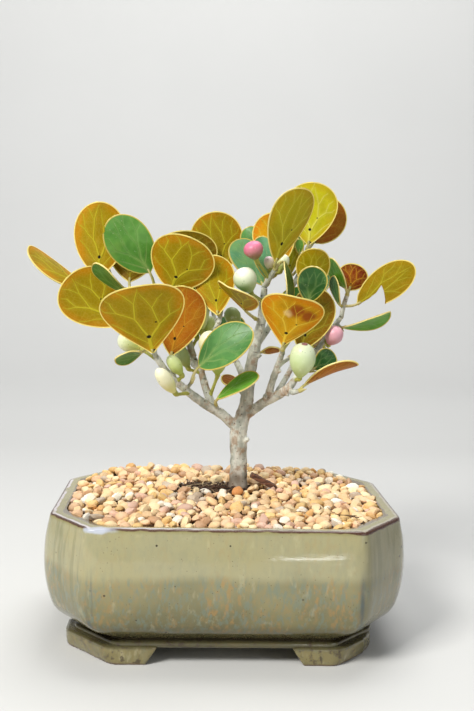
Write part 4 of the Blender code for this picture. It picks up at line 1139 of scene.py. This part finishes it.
def makeUnder():
    paint = Finish("leafUnderside")
    along, bent, across, rise = leafSpace(paint)
    edge = paint.read("fromEdge", "Fac")
    mottle = paint.noise(230, 4, 0.6)
    clouds = paint.noise(95, 2)
    rimShare = paint.ease(edge + (clouds - 0.5) * 8, 4.8, 0.3)
    paint.body = paint.mix(rimShare * 0.85, paint.read("underMiddle"), paint.read("underRim"))
    paint.coat(paint.ease(clouds, 0.46, 0.66) * 0.3, 122, 100, 8)
    paint.coat(paint.ease(mottle, 0.44, 0.7) * 0.2, 196, 150, 34)
    net = paint.cells(620, "DISTANCE_TO_EDGE")
    paint.coat(paint.ease(net, 0.1, 0.02) * 0.07, 232, 214, 110)
    grain = paint.noise(1500, 3, 0.6)
    paint.coat(paint.ease(grain, 0.5, 0.75) * 0.2, 112, 84, 2)
    veins, distance = veinMask(paint, along, bent, 1.25)
    halo = paint.ease(distance, 6.0, 0.8)
    paint.body = paint.mix(halo * 0.24, paint.body, paint.read("underVein"))
    paint.body = paint.mix(veins * 0.86, paint.body, paint.read("underVein"))
    scar = spotMask(paint, "scar")
    paint.coat(scar * 0.75, 236, 206, 140)
    brown = paint.maths("MAXIMUM", spotMask(paint, "spotOne"), spotMask(paint, "spotTwo"))
    paint.coat(brown * (1 - veins * 0.5) * 0.85, 148, 60, 18)
    glands = dotMask(paint, across, rise, 0.0, 0.245, 0.03) + dotMask(paint, across, rise, 0.03, 0.035, 0.028)
    glands = glands + dotMask(paint, across, rise, 0.12, 0.44, 0.014)
    paint.coat(glands * paint.read("glandShare", "Fac"), 24, 18, 8)
    margin = paint.ease(edge, 0.6, 0.38)
    paint.coat(margin, 238, 218, 122)
    relief = veins * 1.2 + paint.ease(edge, 0.9, 0.2) * 1.2 + grain * 0.25 + net * 0.3
    return paint.done(0.42 + grain * 0.12, relief, 0.16, Specular_IOR_Level=0.12)


def makeUpper():
    paint = Finish("leafUpperSide")
    along, bent, _, rise = leafSpace(paint)
    edge = paint.read("fromEdge", "Fac")
    mottle = paint.noise(160, 4, 0.6)
    own = paint.read("upperTone")
    paint.body = paint.mix(paint.ease(mottle, 0.35, 0.7) * 0.55, own, tone(150, 190, 165), "MULTIPLY")
    paint.coat(paint.ease(paint.noise(110, 3), 0.5, 0.66) * 0.3, 120, 168, 92)
    veins, distance = veinMask(paint, along, bent, 1.4)
    paint.coat(paint.ease(distance, 5.0, 0.5) * 0.15, 166, 196, 120)
    paint.coat(paint.ease(rise, 0.5, 0.0) * paint.ease(distance, 3, 0.5) * 0.35, 186, 200, 116)
    flecks = paint.ease(paint.cells(700), 0.2, 0.07) * paint.ease(mottle, 0.45, 0.6)
    paint.coat(flecks * 0.5, 176, 194, 156)
    paint.coat(paint.ease(paint.noise(75, 3), 0.52, 0.68) * 0.25, 142, 172, 70)
    paint.coat(paint.ease(edge, 0.6, 0.28) * 0.85, 214, 186, 84)
    relief = paint.noise(900, 3) * 0.4 - veins * 0.9
    return paint.done(0.3 + mottle * 0.15, relief, 0.14, Specular_IOR_Level=0.38)


def makeMargin():
    paint = Finish("leafMargin")
    wave = paint.noise(500, 3)
    paint.body = paint.mix(wave, tone(222, 202, 112), tone(240, 226, 158))
    return paint.done(0.45, wave, 0.05)


def makeStalk():
    paint = Finish("leafStalk")
    mottle = paint.noise(420, 4, 0.6)
    paint.body = paint.mix(paint.ease(mottle, 0.35, 0.65), tone(178, 168, 82), tone(198, 186, 132))
    paint.coat(paint.ease(paint.noise(800, 3), 0.58, 0.7) * 0.55, 122, 88, 44)
    return paint.done(0.5, mottle, 0.12)


def edgeDistances(outlinePoints, points):
    found = []
    for point in points:
        nearest = 99.0
        for first, second in zip(outlinePoints, outlinePoints[1:]):
            line = second - first
            share = max(0.0, min(1.0, (point - first).dot(line) / max(1e-9, line.length_squared)))
            nearest = min(nearest, (point - first - line * share).length)
        found.append(nearest)
    return found


def halfWidth(item, along):  # of the blade in mm, and as a share of its fullest
    widest = item["taper"] / (item["taper"] + 0.5)
    full = widest ** item["taper"] * math.sqrt(1 - widest)
    broad = along ** item["taper"] * math.sqrt(max(0.0, 1 - along)) / full
    return item["width"] / 2 * broad + blades["foot"] * (1 - along), broad


def rimOf(item, length):  # the blade's edge laid flat, up one side and down the other
    count = blades["rimSteps"]
    steps = [1 - (1 - row / count) ** blades["crowding"] for row in range(count + 1)]
    left = [Vector((-halfWidth(item, along)[0], along * length)) for along in steps]
    return left + [Vector((halfWidth(item, along)[0], along * length)) for along in reversed(steps)]


def shapeBlade(blade, item, draw):  # bends the grid to the blade's form; gives back its points laid flat
    base, tip = item["base"], item["tip"]
    length = (tip - base).length
    axis = (tip - base).normalized()
    front = Vector((0, -1, 0))
    under = (front - axis * front.dot(axis)).normalized()
    under.rotate(Matrix.Rotation(math.radians(item["roll"]), 3, axis))
    across = axis.cross(under)
    phase, wave = draw.uniform(0, 6.3), draw.uniform(0.4, 1.0) * blades["wave"]
    flat = []
    for vertex in blade.data.vertices:
        side, row = vertex.co.x, (vertex.co.y + 1) / 2
        side = math.copysign(abs(side) ** 0.85, side)
        along = 1 - (1 - row) ** blades["crowding"]
        half, broad = halfWidth(item, along)
        lift = item["cup"] * side**2 * broad + item["arch"] * 4 * along * (1 - along)
        lift += wave * broad * side * abs(side) * math.sin(phase + along * 7.0)
        flat.append(Vector((side * half, along * length)))
        point = base + (tip - base) * along + across * side * half - under * lift
        vertex.co = point * mm
    return flat, under, across


def paintBlade(blade, item, flat, tones):
    length = (item["tip"] - item["base"]).length
    blots = (*item.get("spots", ()), blades["noSpot"], blades["noSpot"])[:2]
    blots = zip(("spotOne", "spotTwo", "scar"), (*blots, item.get("scar", blades["noSpot"])))
    for label, (x, y, radius) in blots:
        middle = Vector((x * item["width"], y * length))
        away = [((point - middle) / (radius * item["width"])).to_3d() for point in flat]
        paintPoints(blade, label, away, "FLOAT_VECTOR")  # how far from the spot's middle, in its radii
    layer = blade.data.uv_layers.new(name="leafMap")
    for loop in blade.data.loops:
        point = flat[loop.vertex_index]
        layer.data[loop.index].uv = (0.5 + point.x / item["width"], point.y / length)
    paintWhole(blade, "FLOAT", glandShare=item.get("glands", 1.0))
    paintWhole(blade, **tones)
    paintPoints(blade, "fromEdge", edgeDistances(rimOf(item, length), flat), "FLOAT")


def biteOut(blade, item, under, across, tones):  # cuts away a polygon given in widths and lengths
    base, length = item["base"], (item["tip"] - item["base"]).length
    axis = (item["tip"] - base).normalized()
    spots = [base + axis * y * length + across * x * item["width"] for x, y in item["bite"]]
    bite = ringBody("bite", [[(spot + under * depth) * mm for spot in spots] for depth in (-12, 12)])
    wear(bite, leafUnder)
    cut(blade, bite)
    layers = blade.data.attributes  # the cut leaves its new points white
    points = enumerate(layers["underMiddle"].data)
    fresh = [index for index, point in points if min(point.color) > 0.99]
    for index in fresh:
        for label, colour in tones.items():
            layers[label].data[index].color = colour
        for label in ("spotOne", "spotTwo", "scar"):
            layers[label].data[index].vector = (9, 9, 0)
        layers["fromEdge"].data[index].value = 2.0


def makeBlade(name, item, draw):
    columns, rows = blades["columns"], blades["rows"]
    bpy.ops.mesh.primitive_grid_add(x_subdivisions=columns, y_subdivisions=rows, size=2)
    blade = bpy.context.object
    blade.name = name
    flat, under, across = shapeBlade(blade, item, draw)
    shade = draw.uniform(0.9, 1.1)
    middle, near, vein = underTones[item["under"]]
    tones = {"underMiddle": middle, "underRim": near, "upperTone": upperTones[item["upper"]]}
    for label, colour in tones.items():
        tones[label] = (*(part * shade for part in colour[:3]), 1.0)
    tones["underVein"] = vein
    paintBlade(blade, item, flat, tones)
    welded(blade, 0.005)
    wear(blade, leafUnder, leafUpper, leafMargin)
    rims = {"offset": 0, "material_offset": 1, "material_offset_rim": 2}
    applied(blade, "SOLIDIFY", thickness=blades["thickness"] * mm, **rims)
    if "bite" in item:
        biteOut(blade, item, under, across, tones)
    return smooth(blade, 60)


def makePetiole(start, item):
    base = item["base"]
    axis = (item["tip"] - base).normalized()
    knee = base - axis * (base - start).length * blades["knee"]
    end = base + axis * blades["overlap"]
    points = []
    for step in range(blades["petioleSteps"] + 1):
        part = step / blades["petioleSteps"]
        point = start * (1 - part) ** 2 + knee * 2 * part * (1 - part) + end * part**2
        swell = 1 if step else 1.25  # thicker where it joins the twig
        points.append((*point, blades["petioleRadius"] * (1 - blades["petioleTaper"] * part) * swell))
    return stem("petiole", points, 8, 1)


def seat(path, station, towards, radius):  # where a stem starts, a hair's breadth off the limb's end or side
    index = min(int(station), len(path) - 2)
    start, end = Vector(path[index][:3]), Vector(path[index + 1][:3])
    axis = (end - start).normalized()
    spot = pointOn(path, station)
    middle = Vector(spot[:3])
    out = (Vector(towards[:3]) - middle).normalized()
    slope = abs(out.dot(axis))
    steep = math.sqrt(1 - slope**2)
    if station == len(path) - 1:
        return middle + axis * (blades["gap"] + radius * steep)
    return middle + out * (spot[3] + blades["gap"] + radius * slope) / steep


def makeBud(path):  # the pointed bud at a twig's end
    end, before = Vector(path[-1][:3]), Vector(path[-2][:3])
    axis = (end - before).normalized()
    radius = path[-1][3]
    profile = ((-0.6, 1.0), (0.2, 1.1), (1.2, 0.8), (2.4, 0.4), (3.4, 0.1))
    points = [(*(end + axis * step), radius * swell) for step, swell in profile]
    return stem("bud", points, 8, 2)


leafUnder, leafUpper, leafMargin, leafStalk = makeUnder(), makeUpper(), makeMargin(), makeStalk()
paths = dict(limbs)


def makeSpray(name, draw):
    limb, station, twig, leaves, slot = sprays[name]
    start = seat(paths[limb], station, twig[0], twig[0][3])
    path = [(*start, twig[0][3]), *twig]
    paths[name] = path
    inside = Vector(pointOn(paths[limb], station)[:3])
    rooted = [(*(start.lerp(inside, 0.6)), twig[0][3] * 1.25), *path]
    pieces = []
    for index, item in enumerate(leaves):
        pieces.append(makeBlade(f"{name}_{index}", item, draw))
        petiole = makePetiole(Vector(path[item["node"]][:3]), item)
        pieces.append(wear(smooth(petiole), leafStalk))
    pieces.append(wear(smooth(stem("twig", jointed(rooted, draw), 10, 1)), youngBark))
    pieces.append(wear(smooth(makeBud(path)), leafStalk))
    first, *others = name.split("_")
    spray = joined(pieces, first + "".join(word.title() for word in others))
    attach(spray, "root")
    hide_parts(name)


drawLeaves = random.Random(31)
for sprayName in sprays:
    makeSpray(sprayName, drawLeaves)
print(f"{len(sprays)} sprays made")


# Figs

figTones = {  # near the stalk, at the top, round the eye
    "pale": (tone(192, 204, 116), tone(240, 242, 220), tone(176, 186, 110)),
    "cream": (tone(216, 214, 136), tone(250, 246, 214), tone(190, 180, 110)),
    "dull": (tone(140, 152, 76), tone(172, 188, 136), tone(110, 120, 70)),
    "spring": (tone(168, 186, 70), tone(216, 226, 168), tone(150, 160, 80)),
    "pink": (tone(132, 112, 56), tone(226, 118, 152), tone(150, 70, 90)),
    "blush": (tone(226, 214, 180), tone(244, 214, 222), tone(200, 150, 150)),
    "rose": (tone(206, 140, 150), tone(232, 172, 186), tone(170, 90, 100)),
    "ringed": (tone(186, 206, 130), tone(224, 234, 200), tone(124, 40, 38)),
}
figShape = {
    "stalkRadius": 0.8, "stalkInside": 0.12, "sides": 24, "rings": 18,
    "eyeRise": 0.985, "eyeRadius": 0.95, "eyeThick": 0.42, "scales": 3,
    "profile": [
        (0.0, 0.0), (0.42, 0.14), (0.84, 0.36), (1.0, 0.6), (0.8, 0.86), (0.35, 0.985), (0.16, 0.975),
        (0.0, 0.955),
    ],
}
figs = [  # limb, station, neck, apex, radius, look, slot
    ("left_front", 5.6, (-38, -5.5, 123.5), (-47, 1, 128.5), 5.2, "pale", "fig_pale"),
    ("left_front", 3.2, (-22, -13, 104.5), (-30, -21.5, 116), 3.3, "cream", "fig_pale"),
    ("left_front", 4.2, (-19.5, -9, 112), (-25.5, -12, 121), 3.0, "spring", "fig_pale"),
    ("left_back", 1.9, (-17, 11, 113), (-22, 9, 124), 3.2, "dull", "fig_dull"),
    ("left_middle", 1.3, (-11.5, 9.5, 129.5), (-11, 8.5, 147.5), 3.2, "pale", "fig_pale"),
    ("left_back", 3.2, (-13.5, 13, 127), (-15, 14, 137), 2.8, "pale", "fig_pale"),
    ("left_middle", 1.5, (-9, 14, 129), (-8.5, 17.5, 137), 3.4, "spring", "fig_dull"),
    ("left_middle", 0.5, (-9, 5, 119), (-7.5, 0, 131), 4.6, "cream", "fig_pale"),
    ("trunk", 10.2, (5, 15, 132), (1, 18, 141), 3.8, "dull", "fig_dull"),
    ("trunk", 12.2, (10, -3, 148.5), (5, -7.5, 159), 5.2, "pale", "fig_pale"),
    ("spray_centre", 0.9, (12, -2, 163), (9.5, -4.5, 171), 4.4, "pink", "fig_pink"),
    ("spray_centre", 1.1, (18.5, 4.2, 158.5), (17.5, 4, 165), 2.3, "blush", "fig_pale"),
    ("spray_centre", 1.2, (23, 5.5, 158), (25.2, 6.5, 166), 2.9, "pale", "fig_pale"),
    ("right_front", 3.7, (31.5, -9, 111.5), (33, -14, 127.5), 5.7, "ringed", "fig_pale"),
    ("right_front", 6.4, (46.2, 10, 125), (50.5, 7.5, 133.8), 4.3, "rose", "fig_pink"),
    ("left_back", 0.6, (-4, 6.5, 110.5), (-4, 4, 121), 3.7, "spring", "fig_dull"),
    ("right_front", 6.2, (46, 16, 121), (47, 17, 116.5), 1.6, "pale", "fig_pale"),
    ("back", 2.3, (-6, 36, 121), (-9, 42, 113), 4.4, "dull", "fig_dull"),
    ("back_left", 1.5, (-20, 31, 116), (-24, 37, 122), 4.0, "cream", "fig_pale"),
    ("back_right", 2.4, (40, 24, 123), (47, 28, 129), 4.4, "pink", "fig_pink"),
]


def makeFigSkin():
    paint = Finish("figSkin")
    along = paint.read("figAlong", "Fac")
    clouds = paint.noise(120, 3)
    ripe = paint.ease(along + (clouds - 0.5) * 0.5, 0.1, 0.75)
    paint.body = paint.mix(ripe, paint.read("figLow"), paint.read("figHigh"))
    dots = paint.ease(paint.cells(560), 0.15, 0.08) * paint.ease(paint.noise(220, 2), 0.46, 0.54)
    paint.coat(dots * 0.6, 82, 106, 48)
    paint.coat(paint.ease(paint.noise(420, 4), 0.6, 0.75) * 0.25, 255, 250, 235)
    eye = paint.ease(along, 0.94, 0.965)
    paint.body = paint.mix(eye * 0.9, paint.body, paint.read("figEye"))
    return paint.done(0.38 + clouds * 0.14, paint.noise(900, 2), 0.05, Coat_Weight=0.12, Coat_Roughness=0.2)


def makeFigStalk():
    paint = Finish("figStalk")
    mottle = paint.noise(380, 3)
    paint.body = paint.mix(mottle, tone(150, 150, 60), tone(196, 196, 92))
    paint.coat(paint.ease(paint.noise(700, 3), 0.58, 0.7) * 0.4, 110, 90, 44)
    return paint.done(0.5, mottle, 0.1)


figSkin, figStalk = makeFigSkin(), makeFigStalk()


def makeFigBody(place, length, radius, tones, draw):
    sides, rings = figShape["sides"], figShape["rings"]
    line = between(figShape["profile"], 4)
    bpy.ops.mesh.primitive_uv_sphere_add(segments=sides, ring_count=rings, radius=1)
    body = bpy.context.object
    dents = Vector([draw.uniform(-9, 9) for _ in range(3)])
    share = []
    for vertex in body.data.vertices:
        part = 1 - math.acos(max(-1.0, min(1.0, vertex.co.z))) / math.pi
        here = pointOn(line, part * (len(line) - 1))
        out = Vector((vertex.co.x, vertex.co.y, 0))
        out = out.normalized() if out.length > 1e-6 else out
        uneven = 1 + noise.noise(vertex.co * 1.2 + dents) * 0.05
        share.append(part)
        vertex.co = (out * here[0] * radius * uneven + Vector((0, 0, here[1] * length))) * mm
    body.data.transform(place)
    low, high, eye = tones
    paintPoints(body, "figAlong", share, "FLOAT")
    paintWhole(body, figLow=low, figHigh=high, figEye=eye)
    return wear(smooth(body), figSkin)


def makeScale(place, turn):  # one of the small scales where the stalk meets the fig
    bpy.ops.mesh.primitive_uv_sphere_add(segments=10, ring_count=6, radius=1)
    scale = bpy.context.object
    for vertex in scale.data.vertices:
        x, y, z = vertex.co
        vertex.co = Vector((x * 0.5 + 0.95, y, z + 0.5 + 0.5 * x)) * figShape["stalkRadius"] * 1.1 * mm
    scale.data.transform(place @ Matrix.Rotation(turn, 4, "Z"))
    return wear(smooth(scale), figStalk)


def makeEyeRing(middle, axis, colour):  # a raised ring round the eye
    bpy.ops.mesh.primitive_torus_add(
        major_segments=20, minor_segments=8,
        location=middle * mm, rotation=axis.to_track_quat("Z", "Y").to_euler(),
        major_radius=figShape["eyeRadius"] * mm, minor_radius=figShape["eyeThick"] * mm,
    )
    ring = settled(bpy.context.object)
    for vertex in ring.data.vertices:
        vertex.co += Vector((0, 0, noise.noise(vertex.co * 900) * 0.25 * mm))
    paintWhole(ring, "FLOAT", figAlong=1.0)
    paintWhole(ring, figEye=colour)
    return wear(smooth(ring), figSkin)


def makeFig(index, draw):
    limb, station, neck, apex, radius, look, slot = figs[index]
    neck, apex = Vector(neck), Vector(apex)
    axis = apex - neck
    thick = figShape["stalkRadius"]
    start = seat(paths[limb], station, neck, thick)
    rooted = start.lerp(Vector(pointOn(paths[limb], station)[:3]), 0.5)
    inside = neck + axis * figShape["stalkInside"]
    route = ((rooted, 1.2), (start, 1.05), (start.lerp(neck, 0.6), 0.9), (neck, 1.3), (inside, 1.6))
    stalk = stem("stalk", [(*point, thick * swell) for point, swell in route], 8, 3)
    wear(smooth(stalk), figStalk)
    place = Matrix.Translation(neck * mm) @ axis.to_track_quat("Z", "Y").to_matrix().to_4x4()
    pieces = [makeFigBody(place, axis.length, radius, figTones[look], draw), stalk]
    pieces += [makeScale(place, turn * math.tau / figShape["scales"]) for turn in range(figShape["scales"])]
    if look == "ringed":
        pieces.append(makeEyeRing(neck + axis * figShape["eyeRise"], axis, figTones[look][2]))
    fig = joined(pieces, f"fig{index + 1:02}")
    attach(fig, "root")
    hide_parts(f"fig_{index + 1:02}")


drawFigs = random.Random(7)
for figIndex in range(len(figs)):
    makeFig(figIndex, drawFigs)
print(f"{len(figs)} figs made")


# Studio: pale sweep, soft lights and the camera

studio = {
    "floorHalf": 3.0, "wallY": 1.6, "wallHeight": 2.4, "curve": 0.7,
    "azimuth": -2.26, "elevation": 5.1, "roll": 1.24, "aim": (4.4, 0, 120.7), "distance": 450.0, "lens": 51.2,
    "worldStrength": 0.27,
    "lights": [  # name, place, what it points at, size, watts, colour
        ("keyLight", (-0.5, -0.6, 0.8), (0, 0, 0.1), (0.36, 0.36), 11.5, (1.0, 0.985, 0.95)),
        ("fillLight", (0.8, -0.7, 0.4), (0, 0, 0.1), (0.6, 0.6), 1.4, (0.95, 0.975, 1.0)),
        ("topLight", (0.1, 0.25, 0.9), (0, 0, 0.1), (0.5, 0.5), 4.6, (1.0, 1.0, 1.0)),
        ("glintLight", (0.18, -1.05, 0.06), (0.04, -0.06, 0.045), (0.13, 0.03), 0.2, (1.0, 1.0, 1.0)),
        ("wallLight", (0.0, 0.3, 1.15), (0, 1.6, 1.3), (1.8, 0.3), 21.0, (1.0, 1.0, 1.0)),
    ],
}


def makeStage():
    bpy.ops.mesh.primitive_plane_add(size=2 * studio["floorHalf"])
    floor = bpy.context.object
    floor.name = "paleSweep"
    for vertex in floor.data.vertices:
        if vertex.co.y > 0:
            vertex.co.y = studio["wallY"]
    bpy.ops.object.mode_set(mode="EDIT")
    bpy.ops.mesh.select_mode(type="EDGE")
    bpy.ops.mesh.select_all(action="DESELECT")
    bpy.ops.object.mode_set(mode="OBJECT")
    for edge in floor.data.edges:
        edge.select = all(floor.data.vertices[index].co.y > 1 for index in edge.vertices)
    bpy.ops.object.mode_set(mode="EDIT")
    bpy.ops.mesh.extrude_region_move(TRANSFORM_OT_translate={"value": (0, 0, studio["wallHeight"])})
    bpy.ops.object.mode_set(mode="OBJECT")
    sharp = math.radians(40)
    applied(floor, "BEVEL", width=studio["curve"], segments=16, limit_method="ANGLE", angle_limit=sharp)
    smooth(floor)
    paint = Finish("paleFloor")
    paint.body = paint.mix(paint.noise(3, 3), tone(206, 206, 204), tone(212, 212, 210))
    wear(floor, paint.done(0.75, paint.noise(900, 2), 0.02))


def makeLights():
    world = bpy.data.worlds.new("studioAir")
    bpy.context.scene.world = world
    world.use_nodes = True
    air = world.node_tree.nodes["Background"]
    air.inputs["Color"].default_value = (0.93, 0.96, 1.0, 1.0)
    air.inputs["Strength"].default_value = studio["worldStrength"]
    for name, place, target, size, watts, colour in studio["lights"]:
        bpy.ops.object.light_add(type="AREA", location=place)
        light = bpy.context.object
        light.name = name
        light.data.shape = "RECTANGLE"
        light.data.size, light.data.size_y = size
        light.data.energy = watts
        light.data.color = colour
        aim = Vector(target) - Vector(place)
        light.rotation_euler = aim.to_track_quat("-Z", "Y").to_euler()


def makeCamera():
    turn, rise, roll = (math.radians(studio[key]) for key in ("azimuth", "elevation", "roll"))
    back = Vector((math.sin(turn) * math.cos(rise), -math.cos(turn) * math.cos(rise), math.sin(rise)))
    right = (-back).cross(Vector((0, 0, 1))).normalized()
    up = right.cross(-back)
    sine, cosine = math.sin(roll), math.cos(roll)
    level = Matrix((right * cosine + up * sine, up * cosine - right * sine, back))
    place = (Vector(studio["aim"]) + back * studio["distance"]) * mm
    bpy.ops.object.camera_add()
    camera = bpy.context.object
    camera.name = "photoCamera"
    camera.matrix_world = Matrix.Translation(place) @ level.transposed().to_4x4()
    camera.data.lens = studio["lens"]
    camera.data.sensor_width = 36
    camera.data.clip_end = 20
    bpy.context.scene.camera = camera


makeStage()
makeLights()
makeCamera()
bpy.context.scene.view_settings.view_transform = "Standard"
print("studio made")
